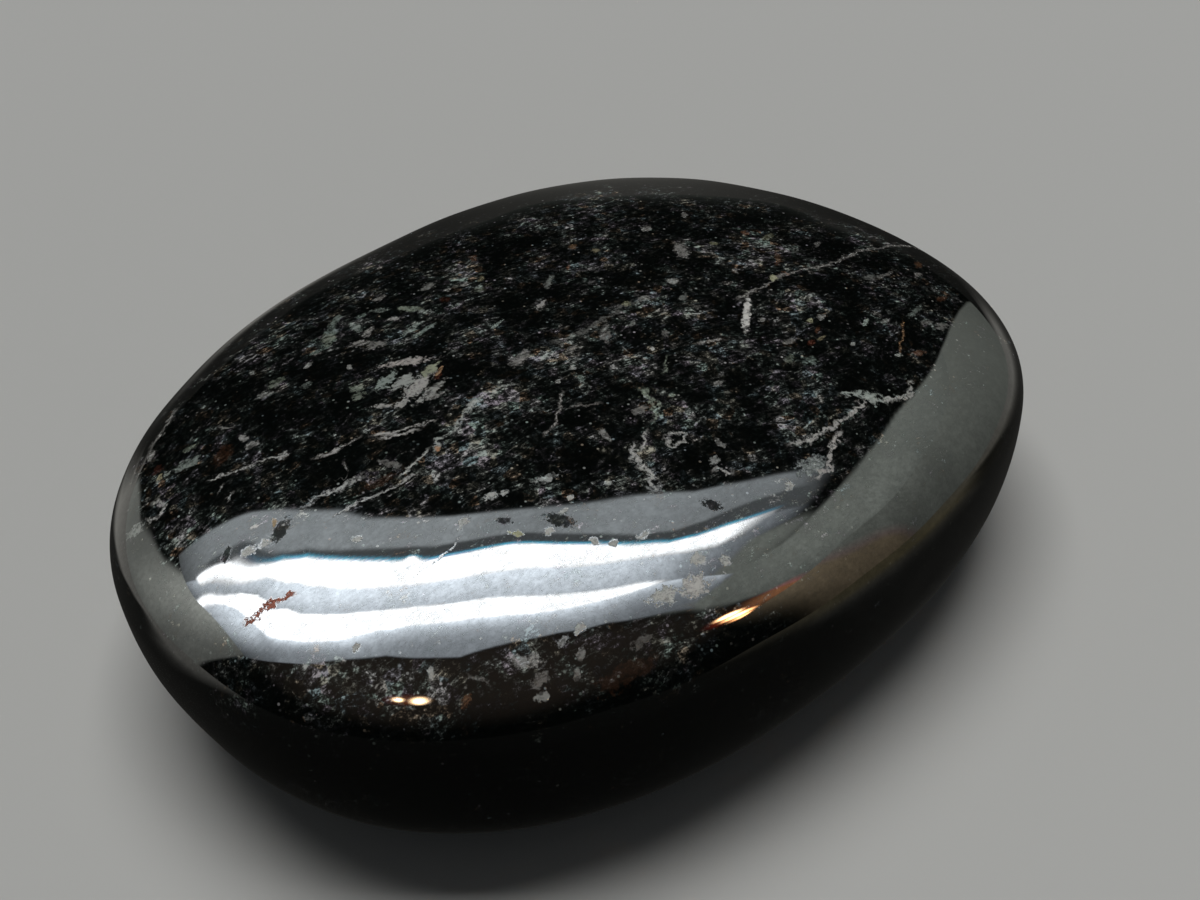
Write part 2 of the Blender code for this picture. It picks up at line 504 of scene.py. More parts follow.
RING_OF_FLAKES = [
    (-8.9, 8.9, 0.60, 0.35, 50, 0.50, 0.42), (-8.3, 9.4, 0.60, 0.30, 50, 0.45, 0.45),
    (-7.5, 10.1, 0.60, 0.22, 30, 0.45, 0.40), (-7.5, 8.5, 0.80, 0.22, 70, 0.40, 0.50),
    (-8.4, 7.1, 0.50, 0.25, -40, 0.15, 0.50), (-7.4, 7.6, 0.50, 0.20, 30, 0.20, 0.50),
    (-8.0, 6.3, 0.60, 0.30, -20, 0.20, 0.36), (-6.0, 5.95, 0.75, 0.18, 10, 0.40, 0.60),
    (-5.7, 5.3, 0.80, 0.16, 5, 0.45, 0.50), (-5.7, 8.8, 0.45, 0.25, -50, 0.40, 0.42),
    (-5.8, 7.4, 0.35, 0.20, -40, 0.20, 0.60), (-4.7, 7.4, 0.50, 0.25, -60, 0.50, 0.50),
    (-4.5, 6.7, 0.30, 0.20, -60, 0.35, 0.50), (-4.9, 7.9, 0.30, 0.25, 0, 0.50, 0.50),
    (-6.5, 9.2, 0.30, 0.20, 0, 0.45, 0.40), (-4.8, 9.9, 0.45, 0.30, 20, 0.15, 0.36),
    (-2.6, 8.6, 0.50, 0.30, 20, 0.25, 0.36), (-10.1, 8.4, 0.40, 0.20, -20, 0.45, 0.40),
]
LEFT_FLAKES = [
    (-18.5, 7.1, 0.55, 0.38, -30, 0.40, 0.45), (-16.2, 5.9, 0.20, 0.35, 0, 0.20, 0.45),
    (-16.3, 5.2, 0.35, 0.20, -30, 0.20, 0.45), (-17.9, 8.0, 0.35, 0.20, -30, 0.50, 0.42),
    (-19.7, 7.85, 0.16, 0.16, 0, 0.65, 0.70), (-19.4, 8.5, 0.28, 0.30, 0, 1.00, 0.22),
    (-17.5, 5.9, 0.60, 0.40, 30, 0.90, 0.14), (-16.0, 3.3, 0.25, 0.20, 0, 0.20, 0.50),
    (-13.7, 7.8, 0.35, 0.25, -20, 0.25, 0.42), (-12.7, 8.1, 0.45, 0.30, 20, 0.50, 0.36),
    (-12.7, 10.1, 0.35, 0.14, 70, 0.30, 0.40), (-10.0, 5.9, 0.22, 0.12, 60, 0.25, 0.50),
    (-11.0, 7.8, 0.25, 0.14, 20, 0.25, 0.50), (-12.1, 6.5, 0.30, 0.20, 0, 0.40, 0.36),
    (-18.9, 9.9, 0.45, 0.22, 60, 0.20, 0.45), (-14.6, 1.5, 0.35, 0.14, -20, 0.15, 0.45),
    (-13.5, -1.2, 0.60, 0.20, -75, 0.15, 0.28), (-14.6, -1.6, 0.90, 0.25, -15, 0.90, 0.14),
    (-11.5, -2.05, 0.20, 0.14, 50, 0.78, 0.90), (-12.3, 0.45, 0.50, 0.20, -42, 0.15, 0.40),
]
print(len(BIG_FLAKE + RING_OF_FLAKES + LEFT_FLAKES), "flakes on the left")

# %% [markdown]
# ## Chips and a splinter
# The middle and the right of the top carry smaller chips, and among them lies one long white
# splinter. They are written in the same seven numbers as the flakes.

# %% Chips and splinter
MIDDLE_FLAKES = [
    (-3.2, 2.9, 0.45, 0.14, 12, 0.40, 0.60), (-0.3, 2.6, 0.38, 0.18, 20, 0.15, 0.60),
    (1.4, 3.9, 0.40, 0.22, 35, 0.30, 0.36), (2.0, 4.2, 0.35, 0.16, 40, 0.35, 0.40),
    (3.5, 4.4, 0.30, 0.09, 40, 0.90, 0.45), (-4.5, -0.1, 0.90, 0.30, 15, 0.20, 0.40),
    (-2.3, -1.4, 0.45, 0.20, 15, 0.20, 0.40), (-3.3, -2.4, 0.25, 0.20, 30, 0.25, 0.60),
    (-4.6, -2.7, 0.18, 0.13, 0, 0.25, 0.80), (-3.7, -3.3, 0.35, 0.20, 60, 0.45, 0.50),
    (-0.3, -1.8, 0.50, 0.28, 30, 0.15, 0.32), (0.2, -1.2, 0.50, 0.14, 25, 0.20, 0.36),
    (1.5, -1.9, 0.30, 0.14, 20, 0.30, 0.40), (2.7, -0.4, 0.25, 0.20, 30, 0.60, 0.50),
    (3.7, -0.7, 0.30, 0.20, 0, 0.20, 0.36), (0.53, -4.05, 0.18, 0.11, 45, 0.25, 1.00),
    (2.0, -3.6, 0.30, 0.16, 35, 0.20, 0.36), (-8.4, -1.0, 0.35, 0.20, 10, 0.30, 0.80),
    (-9.6, -6.9, 0.60, 0.20, -15, 0.25, 0.45), (-5.85, -6.8, 0.20, 0.40, -10, 0.20, 0.40),
    (-3.4, -6.7, 0.40, 0.20, 0, 0.20, 0.36), (-1.5, -7.05, 0.25, 0.11, 0, 0.50, 0.50),
    (0.8, -7.9, 0.30, 0.16, -20, 0.20, 0.40), (-2.2, 7.5, 0.20, 0.16, 0, 0.25, 0.60),
    (-1.3, 7.2, 0.30, 0.18, 30, 0.20, 0.40), (-0.3, 7.0, 0.30, 0.16, 35, 0.65, 0.40),
    (-1.2, 6.2, 0.25, 0.30, 0, 0.50, 0.36), (1.2, 9.2, 0.40, 0.20, 60, 0.90, 0.30),
    (-3.0, 6.8, 0.30, 0.25, 0, 1.00, 0.25),
]
RIGHT_FLAKES = [
    (6.1, -8.0, 0.40, 0.20, -15, 0.20, 0.36), (5.0, -8.9, 0.50, 0.18, 10, 0.50, 0.36),
    (5.8, -9.7, 0.35, 0.20, 40, 0.45, 0.36), (6.9, -8.8, 0.30, 0.18, 20, 1.00, 0.40),
    (7.6, -8.85, 0.30, 0.11, 0, 0.65, 0.40), (8.45, -7.6, 0.24, 0.14, 10, 0.60, 0.80),
    (9.2, -7.7, 0.25, 0.20, 0, 0.25, 0.50), (8.1, -8.3, 0.35, 0.12, 20, 0.90, 0.36),
    (10.9, -9.3, 0.42, 0.14, 22, 0.40, 0.80), (8.6, -10.1, 0.20, 0.13, 10, 0.30, 0.60),
    (11.9, -9.8, 0.30, 0.14, 0, 0.30, 0.40), (15.0, -6.7, 0.50, 0.20, 10, 0.30, 0.30),
    (16.0, -6.95, 0.80, 0.16, 0, 0.20, 0.30), (18.3, -7.8, 0.50, 0.18, 20, 0.15, 0.40),
    (19.6, -7.0, 0.50, 0.20, 20, 0.80, 0.30), (17.1, -10.0, 0.50, 0.20, 0, 0.90, 0.30),
    (11.2, -12.35, 0.50, 0.18, -15, 0.90, 0.36), (14.4, -10.1, 0.80, 0.14, 12, 0.40, 0.36),
    (14.0, -11.0, 0.35, 0.20, 0, 0.20, 0.30), (14.6, -11.6, 0.40, 0.30, 0, 0.20, 0.30),
    (10.05, -11.9, 0.18, 0.13, 0, 0.30, 0.70), (9.2, 1.5, 0.90, 0.38, 48, 0.20, 0.42),
    (9.9, 4.6, 0.35, 0.25, 20, 0.20, 0.42), (12.9, 4.4, 0.40, 0.16, 40, 0.20, 0.42),
    (6.15, -0.5, 0.30, 0.30, 0, 0.25, 0.50), (5.9, 4.7, 0.30, 0.20, 45, 0.65, 0.45),
    (5.4, 5.9, 0.30, 0.20, 30, 0.75, 0.36), (11.15, 0.9, 0.22, 0.20, 0, 0.60, 0.45),
    (13.75, 0.7, 0.30, 0.20, 50, 0.80, 0.36), (9.4, -2.0, 0.25, 0.16, 60, 0.20, 0.40),
    (6.5, -6.0, 0.20, 0.16, 0, 0.20, 0.50), (5.2, -2.0, 0.40, 0.20, 20, 0.30, 0.32),
    (14.3, -0.4, 0.60, 0.20, 10, 0.60, 0.25), (16.0, -2.6, 0.40, 0.16, 15, 0.20, 0.30),
    (12.5, -2.5, 0.80, 0.20, 40, 0.80, 0.20), (10.4, -3.8, 0.30, 0.20, 30, 0.60, 0.80),
    (11.4, -3.9, 0.15, 0.25, 0, 0.85, 0.40), (6.1, -13.0, 0.40, 0.34, 0, 0.35, 0.80),
    (6.75, -13.5, 0.26, 0.14, 0, 0.25, 1.00), (0.1, -13.9, 0.75, 0.38, -10, 0.35, 0.40),
]
# A single splinter of white mineral, longer and straighter than anything round it
SPLINTER = [(6.45, -5.1, 1.55, 0.20, 36, 0.22, 1.40)]
print(len(MIDDLE_FLAKES + RIGHT_FLAKES + SPLINTER), "chips in the middle and on the right")

# %% [markdown]
# ## Front and shoulder
# The front carries a few chips, and the shoulder carries round spots, where the polish has sunk into
# soft whitish grains.

# %% Front and shoulder
FRONT_FLAKES = [
    (-3.3, -11.05, 0.35, 0.20, 0, 0.25, 0.45), (-2.25, -10.55, 0.20, 0.35, -10, 0.20, 0.40),
    (-7.85, -8.9, 0.22, 0.16, -20, 0.30, 0.70), (-1.65, -14.0, 0.26, 0.16, 10, 0.25, 0.90),
    (-16.3, -12.2, 0.70, 0.24, -35, 0.20, 0.50), (-16.3, -13.0, 0.45, 0.20, 0, 0.15, 0.40),
    (-16.6, -13.4, 0.35, 0.13, -20, 0.25, 0.80), (-14.7, -12.7, 0.35, 0.16, -10, 0.20, 0.42),
    (-14.5, -13.45, 0.30, 0.16, 30, 0.20, 0.45), (-15.1, -13.85, 0.20, 0.14, 30, 0.15, 0.50),
    (-19.2, -9.85, 0.13, 0.20, -20, 0.25, 0.80), (-18.9, -11.5, 0.25, 0.16, 0, 0.85, 0.34),
    (-13.5, -15.0, 1.30, 0.30, -15, 0.90, 0.12), (-12.2, -14.7, 0.60, 0.16, -10, 0.15, 0.25),
]
SHOULDER_SPOTS = [
    (-20.35, 0.15, 0.26, 0.24, 0, 0.25, 1.00), (-19.75, -0.1, 0.36, 0.20, 0, 0.25, 1.00),
    (-17.25, -3.35, 0.20, 0.15, -30, 0.25, 1.00), (-13.8, -6.1, 0.35, 0.20, 20, 0.25, 0.90),
    (-12.0, -5.9, 0.30, 0.20, 0, 0.25, 0.80), (-11.5, -6.2, 0.20, 0.15, 0, 0.25, 0.80),
    (-12.65, -8.15, 0.30, 0.13, -50, 0.60, 0.80), (-11.65, -9.0, 0.20, 0.20, 0, 0.25, 0.90),
    (-10.4, -8.7, 0.20, 0.14, 0, 0.25, 0.90), (-9.7, -8.35, 0.16, 0.13, 0, 0.25, 0.80),
    (-10.6, -10.6, 0.18, 0.17, 0, 0.25, 1.00), (-10.1, -11.2, 0.20, 0.15, 0, 0.25, 0.90),
    (-20.5, -7.0, 0.20, 0.15, 0, 0.25, 0.90), (-8.9, -11.75, 0.30, 0.14, 0, 0.25, 0.90),
    (-6.9, -14.65, 0.25, 0.20, 0, 0.25, 1.20), (-7.8, -13.95, 0.35, 0.24, 0, 0.25, 1.20),
    (-8.8, -14.6, 0.60, 0.42, 0, 0.20, 1.30), (-10.2, -14.1, 0.60, 0.30, -20, 0.25, 1.30),
    (-13.8, -12.8, 0.25, 0.15, 0, 0.25, 0.90), (-22.1, 6.5, 0.35, 0.40, 0, 0.30, 0.60),
    (-18.8, 0.4, 0.26, 0.12, 50, 0.70, 0.80),
]
FLAKES = (BIG_FLAKE + RING_OF_FLAKES + LEFT_FLAKES + MIDDLE_FLAKES + RIGHT_FLAKES + SPLINTER
          + FRONT_FLAKES + SHOULDER_SPOTS)
print(len(FLAKES), "flakes and spots")

# %% [markdown]
# ## Flakes that lie close together
# As with the veins, one set of numbers follows one oval at a time, so ovals that lie close together
# are dealt into different sets. Each flake goes into the first set that has room for it.

# %% Sets of flakes
FLAKE_APART = 1.7


def dealt_apart(flakes):
    """Sets of flakes in which any two stay at least FLAKE_APART mm from edge to edge."""
    sets = []
    for flake in flakes:
        for chosen in sets:
            if all(math.dist(flake[:2], other[:2]) > FLAKE_APART + flake[2] + other[2] for other in chosen):
                chosen.append(flake)
                break
        else:
            sets.append([flake])
    return sets


flake_sets = dealt_apart(FLAKES)
print("flakes dealt into", len(flake_sets), "sets")

# %% [markdown]
# ## Ovals finer than the grid
# Many spots are smaller than a square of the grid. So a point doesn't store whether it lies inside
# an oval, but where it lies, counted in the oval's own half sizes along and across. Both numbers run
# straight from point to point, and the shader finds a true oval from them.

# %% Flake attributes
FLAKE_SURE = 0.30
FLAKE_GONE = 0.60


def flake_numbers(flakes, x, y):
    """Place along and across the nearest oval in half sizes, its brightness fading off it, its tint."""
    best = np.full(x.shape, np.inf)
    numbers = np.zeros((len(x), 4))
    for middle_x, middle_y, half_length, half_width, degrees, tint, brightness in flakes:
        turn = math.radians(degrees)
        along = ((x - middle_x) * math.cos(turn) + (y - middle_y) * math.sin(turn)) / half_length
        across = ((y - middle_y) * math.cos(turn) - (x - middle_x) * math.sin(turn)) / half_width
        reach = np.hypot(along, across)
        beyond = np.hypot(x - middle_x, y - middle_y) * (1.0 - 1.0 / np.maximum(reach, 1.0))
        fade = np.clip((FLAKE_GONE - beyond) / (FLAKE_GONE - FLAKE_SURE), 0.0, 1.0)
        found = np.stack([along, across, brightness * fade, np.full(x.shape, tint)], axis=-1)
        nearer = beyond < best
        best = np.where(nearer, beyond, best)
        numbers = np.where(nearer[:, None], found, numbers)
    return numbers


for index, flakes in enumerate(flake_sets):
    found = flake_numbers(flakes, skin_x, skin_y)
    found[~is_top, 2] = 0.0
    store("flake_" + str(index + 1), found[:, :3])
    store("flake_tint_" + str(index + 1), found[:, 3])
print(len(stone.data.attributes), "attributes on the skin")

# %% [markdown]
# ## Where the grains crowd
# The fine speckle isn't even. Some patches are almost pure black, others are so full of needles and grains
# that they look grey or crackled. Soft ovals say where, and the shader adds their sum to the chance of a
# grain. Low on the wall and on the underside the chance is cut further: painted shade, darker towards the
# bottom of the stone.

# %% Crowded and empty patches
# Each patch: middle x, middle y, half length, half width (mm), angle in degrees, more or fewer
PATCHES = [
    (-12.5, 8.5, 4.0, 3.5, 0, -0.8), (-13.6, 0.0, 2.2, 1.3, -20, -0.7), (8.0, -11.3, 3.0, 1.2, 0, -0.6),
    (9.0, 15.0, 9.0, 3.0, -15, -1.1), (19.5, 8.0, 6.0, 3.0, -60, -1.1), (22.5, -1.0, 5.0, 2.0, -90, -0.5),
    (4.0, -16.6, 9.0, 1.6, 5, -0.9), (-20.4, -9.2, 3.2, 1.0, -50, 0.35),
    (-22.4, -7.0, 4.5, 1.3, -60, 0.35), (-19.2, -12.4, 2.0, 0.9, -40, -1.0),
    (8.5, 4.0, 3.0, 2.0, 30, -0.3), (-7.3, -6.5, 1.7, 1.6, 0, -0.4), (-1.5, -11.0, 1.6, 0.7, -30, -0.5),
    (-14.0, 3.8, 2.0, 1.5, 0, -0.4), (-6.0, 1.3, 2.2, 0.9, 0, -0.4), (-5.0, -2.2, 1.6, 0.5, 10, -0.5),
    (-3.5, -3.2, 4.0, 1.6, -10, 0.4), (-9.0, -1.6, 3.2, 0.8, 0, 0.7), (-4.6, -8.3, 1.8, 1.2, 30, 0.9),
    (-5.3, -10.7, 1.8, 0.8, -35, 0.8), (-2.0, -14.0, 2.8, 0.8, 0, 0.9), (-12.0, -3.6, 3.0, 1.1, 0, 0.5),
    (3.0, -7.5, 4.5, 2.5, 0, 0.25), (5.3, -9.3, 1.3, 0.9, 0, 0.4), (0.0, -0.8, 4.5, 1.0, 0, 0.45),
    (-20.5, 5.0, 1.4, 2.6, 0, 0.6), (-15.5, -0.7, 2.4, 0.6, -10, 0.5), (-18.8, 2.4, 2.0, 1.5, 0, 0.4),
    (5.5, -2.6, 3.0, 1.2, 0, 0.35), (-6.7, 7.6, 2.8, 2.4, 0, 0.35), (4.0, -13.2, 3.5, 0.6, 0, 0.5),
]
WALL_PAINTED_SHADE = -1.5
PAINTED_SHADE_HEIGHTS = (10.0 * MM, 12.2 * MM)


def crowding(patches, x, y):
    """Sum of soft hills: amount · exp(-distance²) for each patch."""
    total = np.zeros(len(x))
    for *oval, amount in patches:
        total += amount * np.exp(-oval_distance(x, y, *oval) ** 2)
    return total


# Painted shade: below the shoulder the grains fade out, so the wall and underside come out darker.
painted_wall_shade = 1.0 - np.clip((skin[:, 2] - PAINTED_SHADE_HEIGHTS[0]) / (PAINTED_SHADE_HEIGHTS[1] - PAINTED_SHADE_HEIGHTS[0]), 0.0, 1.0)
crowding_and_wall_shade = crowding(PATCHES, skin_x, skin_y) * is_top + WALL_PAINTED_SHADE * painted_wall_shade
store("crowding", crowding_and_wall_shade)
print("crowding from", round(float(crowding_and_wall_shade.min()), 2), "to", round(float(crowding_and_wall_shade.max()), 2))

# %% [markdown]
# ## Where the polish is lost
# In a few spots a cluster of grains has torn out of the shoulder. The hollow is too rough to mirror
# anything, so it looks like a dark notch in the pale reflection. A point stores how deep it lies
# inside such a spot: 1 in its middle, 0 at its edge and less outside.

# %% Torn spots
# Each spot: middle x, middle y, half length, half width (mm), angle in degrees
TORN_SPOTS = [
    (-18.9, -0.2, 0.85, 0.40, 20), (-10.9, -8.9, 0.80, 0.42, -60), (-12.6, -7.3, 0.45, 0.22, -50),
    (-21.0, 0.9, 0.50, 0.22, 40), (-5.3, -12.6, 0.60, 0.30, -60),
]
torn_depth = np.max([1.0 - oval_distance(skin_x, skin_y, *spot) for spot in TORN_SPOTS], axis=0)
store("torn", np.where(is_top, np.clip(torn_depth, -1.0, 1.0), -1.0))
print(len(TORN_SPOTS), "torn spots")

# %% [markdown]
# ## Polished nuummite
# Nuummite is a tight felt of two amphiboles, gedrite and anthophyllite, almost black, with an index
# of refraction near 1.65. Tumbling with ever finer grit and a last polish leaves it so smooth that
# it mirrors like dark glass, so the eye sees three things: black depth, sharp reflections, and pale
# grains that the polish only half hides. Nothing is painted from a picture: every pattern is a
# noise or a cell pattern whose size comes from the grain of the rock.

# %% Material and coordinates in millimetres
nuummite = bpy.data.materials.new("polished_nuummite")
nuummite.use_nodes = True
rock = nuummite.node_tree
rock.nodes.clear()

in_metres = add(rock, "TexCoord", out="Object")
in_mm = add(rock, "Mapping", in_metres, Scale=(1.0 / MM, 1.0 / MM, 1.0 / MM))
print("one unit of the patterns is", MM, "m")

# %% [markdown]
# ## The layering
# The needles lie roughly along one direction, the layering of the rock. Their noise is squeezed
# along it, and another, coarse noise sways the layering from place to place.

# %% Layering
SWAY = 4.5
SWAY_REACH = 2.4
NEEDLE_TURN = math.radians(12.0)
NEEDLE_SQUEEZE = 0.26
NOISE_MIDDLE = (0.5, 0.5, 0.5)

sway = add(rock, "TexNoise", in_mm, Scale=1.0 / SWAY, Detail=1.0, out="Color")
sway = add(rock, "VectorMath", sway, NOISE_MIDDLE, operation="SUBTRACT")
swayed = add(rock, "VectorMath", sway, (SWAY_REACH,) * 3, in_mm, operation="MULTIPLY_ADD")
turned = add(rock, "Mapping", swayed, Rotation=(0.0, 0.0, NEEDLE_TURN))
layered = add(rock, "Mapping", turned, Scale=(NEEDLE_SQUEEZE, 1.0, 1.0))
print("needles are about", round(1.0 / NEEDLE_SQUEEZE, 1), "times as long as they are wide")

# %% [markdown]
# ## The felt of crystals
# Seen close, the black ground is a felt of grains and needles, and their brightness spreads over two
# powers of ten: most are nearly black and a few are almost white. A sum of noises is evenly spread,
# so it can't do that by itself. Put into an exponent it can: each step up multiplies the light.
# One noise gives the grains, one, squeezed along the layering, the needles, and one, twisted, the
# crooked fibres.

# %% Grains, needles and fibres
# Each noise: place, size in mm, detail, roughness, twist, steps up and down in the exponent
FELT_NOISES = [
    (in_mm, 0.32, 4.0, 0.70, 0.0, 6.6),
    (layered, 0.17, 3.0, 0.65, 0.0, 5.0),
    (in_mm, 0.17, 3.0, 0.80, 1.5, 5.0),
]

fine = 0.0
for place, size, detail, rough, twist, steps in FELT_NOISES:
    noise = add(rock, "TexNoise", place, Scale=1.0 / size, Detail=detail, Roughness=rough, Distortion=twist)
    noise = add(rock, "MapRange", noise, 0.0, 1.0, -steps, steps)
    fine = add(rock, "Math", fine, noise, operation="ADD")
print("grains of", ", ".join(str(row[1]) for row in FELT_NOISES), "mm")

# %% [markdown]
# ## Clumps and threads
# A coarse noise makes the clumps in which grains and needles crowd, together with the stored crowding, which
# low on the wall also carries painted shade. Thin threads run where a squeezed noise crosses its middle
# value. The sum goes into the exponent, and a soft limit keeps the brightest grains below white.

# %% Felt
CLUMP = 2.4
CLUMP_STEPS = 7.5
CROWD_STEPS = 2.0
THREAD = 0.60
THREAD_WIDTH = 0.035
THREAD_STEPS = 1.4
FELT_LIGHT = 0.0048
FELT_LIMIT = 0.75
LIMIT_ROUNDING = 0.15

clump = add(rock, "TexNoise", in_mm, Scale=1.0 / CLUMP, Detail=4.0, Roughness=0.6)
clump = add(rock, "MapRange", clump, 0.0, 1.0, -CLUMP_STEPS, CLUMP_STEPS)
thread = add(rock, "TexNoise", layered, Scale=1.0 / THREAD, Detail=3.0, Roughness=0.6)
thread = add(rock, "Math", thread, 0.5, operation="SUBTRACT")
thread = add(rock, "Math", thread, operation="ABSOLUTE")
thread = add(rock, "MapRange", thread, THREAD_WIDTH, 0.0, 0.0, THREAD_STEPS)
crowd_and_wall_shade = add(rock, "Attribute", attribute_name="crowding", out="Fac")

texture = add(rock, "Math", fine, clump, operation="ADD")
felt = add(rock, "Math", crowd_and_wall_shade, CROWD_STEPS, texture, operation="MULTIPLY_ADD")
felt = add(rock, "Math", felt, thread, operation="ADD")
felt = add(rock, "Math", add(rock, "Math", felt, operation="EXPONENT"), FELT_LIGHT, operation="MULTIPLY")
felt = add(rock, "Math", felt, FELT_LIMIT, LIMIT_ROUNDING, operation="SMOOTH_MIN")
print("the felt is white after", round(math.log(1.0 / FELT_LIGHT), 1), "steps up")

# %% [markdown]
# ## Bright dust
# Between the fibres sit specks of a hundredth of a millimetre or two, which glint as white dots.
# They are drawn larger than they are, a tenth of a millimetre, so that they still show: one cell in
# many of a cell pattern holds one.

# %% Dust
DUST_CELL = 0.32
DUST_SPECK = (0.26, 0.12)
DUST_LIGHT = 0.6
DUST_RARITY = 9.0
DUST_IN_EMPTY_AND_SHADE = 0.15

speck = add(rock, "TexVoronoi", in_mm, Scale=1.0 / DUST_CELL, out="Distance")
speck = add(rock, "MapRange", speck, *DUST_SPECK, 0.0, DUST_LIGHT, interpolation_type="SMOOTHSTEP")
chosen = add(rock, "SeparateColor", add(rock, "TexVoronoi", in_mm, Scale=1.0 / DUST_CELL, out="Color"))
chosen = add(rock, "Math", chosen, DUST_RARITY, operation="POWER")
# Dust thins where the crowding is low, which includes the painted shade on the wall.
thinned = add(rock, "MapRange", crowd_and_wall_shade, -1.0, 0.0, DUST_IN_EMPTY_AND_SHADE, 1.0)
chosen = add(rock, "Math", chosen, thinned, operation="MULTIPLY")
felt = add(rock, "Math", speck, chosen, felt, operation="MULTIPLY_ADD")
print("specks about", round(2.0 * DUST_CELL * DUST_SPECK[1], 2), "mm across")

# %% [markdown]
# ## Reading the veins back
# The stored distance becomes a seam where its size is under one half width. Noise pushes it
# sideways and breaks it up, as a real seam splits and pinches out. Of the three sets, the strongest
# one at a point gives the light and the tint.

# %% Veins in the shader
WANDER = 0.45
WANDER_REACH = 2.7
BREAK = 0.20
BREAK_RANGE = (0.32, 0.56)
VEIN_LIGHT = 0.75
SEAM_EDGE = (1.2, 0.2)

wander = add(rock, "TexNoise", in_mm, Scale=1.0 / WANDER, Detail=5.0, Roughness=0.62)
wander = add(rock, "MapRange", wander, 0.2, 0.8, -WANDER_REACH, WANDER_REACH)
breaks = add(rock, "TexNoise", in_mm, Scale=1.0 / BREAK, Detail=3.0, Roughness=0.8)
breaks = add(rock, "MapRange", breaks, *BREAK_RANGE, 0.0, VEIN_LIGHT, interpolation_type="SMOOTHSTEP")
vein, vein_tint = 0.0, 0.0
for index in range(len(VEIN_SETS)):
    course = add(rock, "Attribute", attribute_name="vein_" + str(index + 1), out="Vector")
    offset = add(rock, "SeparateXYZ", course, out="X")
    strength = add(rock, "SeparateXYZ", course, out="Y")
    offset = add(rock, "Math", add(rock, "Math", offset, wander, operation="ADD"), operation="ABSOLUTE")
    seam = add(rock, "MapRange", offset, *SEAM_EDGE, 0.0, strength, interpolation_type="SMOOTHSTEP")
    seam = add(rock, "Math", seam, breaks, operation="MULTIPLY")
    stronger = add(rock, "Math", seam, vein, operation="GREATER_THAN")
    vein_tint = add(rock, "Mix", stronger, vein_tint, add(rock, "SeparateXYZ", course, out="Z"))
    vein = add(rock, "Math", seam, vein, operation="MAXIMUM")
print(len(rock.nodes), "nodes with the veins")

# %% [markdown]
# ## Reading the flakes back
# The two stored places give the distance from the middle in half sizes, so the flake ends at one.
# The places are first pushed about by a noise, which bends the oval into a shard, and then noise is
# added to the distance, which tears its edge. The felt's own grain mottles the inside.

# %% Flakes in the shader
BEND = 0.45
BEND_REACH = 2.2
TEAR = 0.15
TEAR_REACH = 0.7
FLAKE_LIGHT = 0.72
FLAKE_EDGE = (1.15, 0.75)
MOTTLE_RANGE = (-2.6, 0.6)
MOTTLE_DARKEST = 0.25

bend = add(rock, "TexNoise", in_mm, Scale=1.0 / BEND, Detail=2.0, Roughness=0.6, out="Color")
bend = add(rock, "VectorMath", bend, NOISE_MIDDLE, operation="SUBTRACT")
tear = add(rock, "TexNoise", in_mm, Scale=1.0 / TEAR, Detail=4.0, Roughness=0.75)
tear = add(rock, "MapRange", tear, 0.2, 0.8, -TEAR_REACH, TEAR_REACH)
mottle = add(rock, "MapRange", fine, *MOTTLE_RANGE, MOTTLE_DARKEST * FLAKE_LIGHT, FLAKE_LIGHT)
flake, flake_tint = 0.0, 0.0
for index in range(len(flake_sets)):
    oval_place = add(rock, "Attribute", attribute_name="flake_" + str(index + 1), out="Vector")
    tint = add(rock, "Attribute", attribute_name="flake_tint_" + str(index + 1), out="Fac")
    bent = add(rock, "VectorMath", bend, (BEND_REACH, BEND_REACH, 0.0), oval_place, operation="MULTIPLY_ADD")
    bent = add(rock, "VectorMath", bent, (1.0, 1.0, 0.0), operation="MULTIPLY")
    reach = add(rock, "VectorMath", bent, operation="LENGTH", out="Value")
    reach = add(rock, "Math", reach, tear, operation="ADD")
    brightness = add(rock, "SeparateXYZ", oval_place, out="Z")
    chip = add(rock, "MapRange", reach, *FLAKE_EDGE, 0.0, brightness, interpolation_type="SMOOTHSTEP")
    stronger = add(rock, "Math", chip, flake, operation="GREATER_THAN")
    flake_tint = add(rock, "Mix", stronger, flake_tint, tint)
    flake = add(rock, "Math", chip, flake, operation="MAXIMUM")
flake = add(rock, "Math", flake, mottle, operation="MULTIPLY")
print(len(rock.nodes), "nodes with the flakes")

# %% [markdown]
# ## Colour of the stone
# Felt, veins and flakes are laid over the black ground in turn. The grains of the felt are faintly
# pink, green, violet or blue from cell to cell, and the minerals run from grey to rust.

# %% Colour
GROUND_BLACK = "#060807"
TINT_CELL = 0.5
GRAIN_TINTS = [
    (0.00, "#d0cac2"), (0.18, "#b6cbc0"), (0.36, "#d3d2cf"), (0.52, "#cbbfca"), (0.68, "#b0c6c9"),
    (0.86, "#ccc8b6"), (1.00, "#c4a285"),
]
MINERAL_TINTS = [
    (0.00, "#b5aca6"), (0.22, "#c2c0ba"), (0.45, "#93a298"), (0.60, "#aaa988"), (0.78, "#a07350"),
    (1.00, "#6c3826"),
]

grain_cell = add(rock, "TexVoronoi", in_mm, Scale=1.0 / TINT_CELL, out="Color")
grain_tint = add(rock, "ValToRGB", add(rock, "SeparateColor", grain_cell), stops=GRAIN_TINTS)
colour = add(rock, "Mix", felt, linear(GROUND_BLACK), grain_tint, data_type="RGBA")
for amount, tint in ((vein, vein_tint), (flake, flake_tint)):
    mineral = add(rock, "ValToRGB", tint, stops=MINERAL_TINTS)
    colour = add(rock, "Mix", amount, colour, mineral, data_type="RGBA")
print("the bare ground reflects", round(linear(GROUND_BLACK)[1], 4), "of the light")

# %% [markdown]
# ## Polish
# Pale grains take the polish less well than the ground, so they are duller, and they stand a few
# thousandths of a millimetre below it, which the bump shows. Where many grains crowd, the whole
# mirror loses a little. In the torn spots almost nothing is left of it.

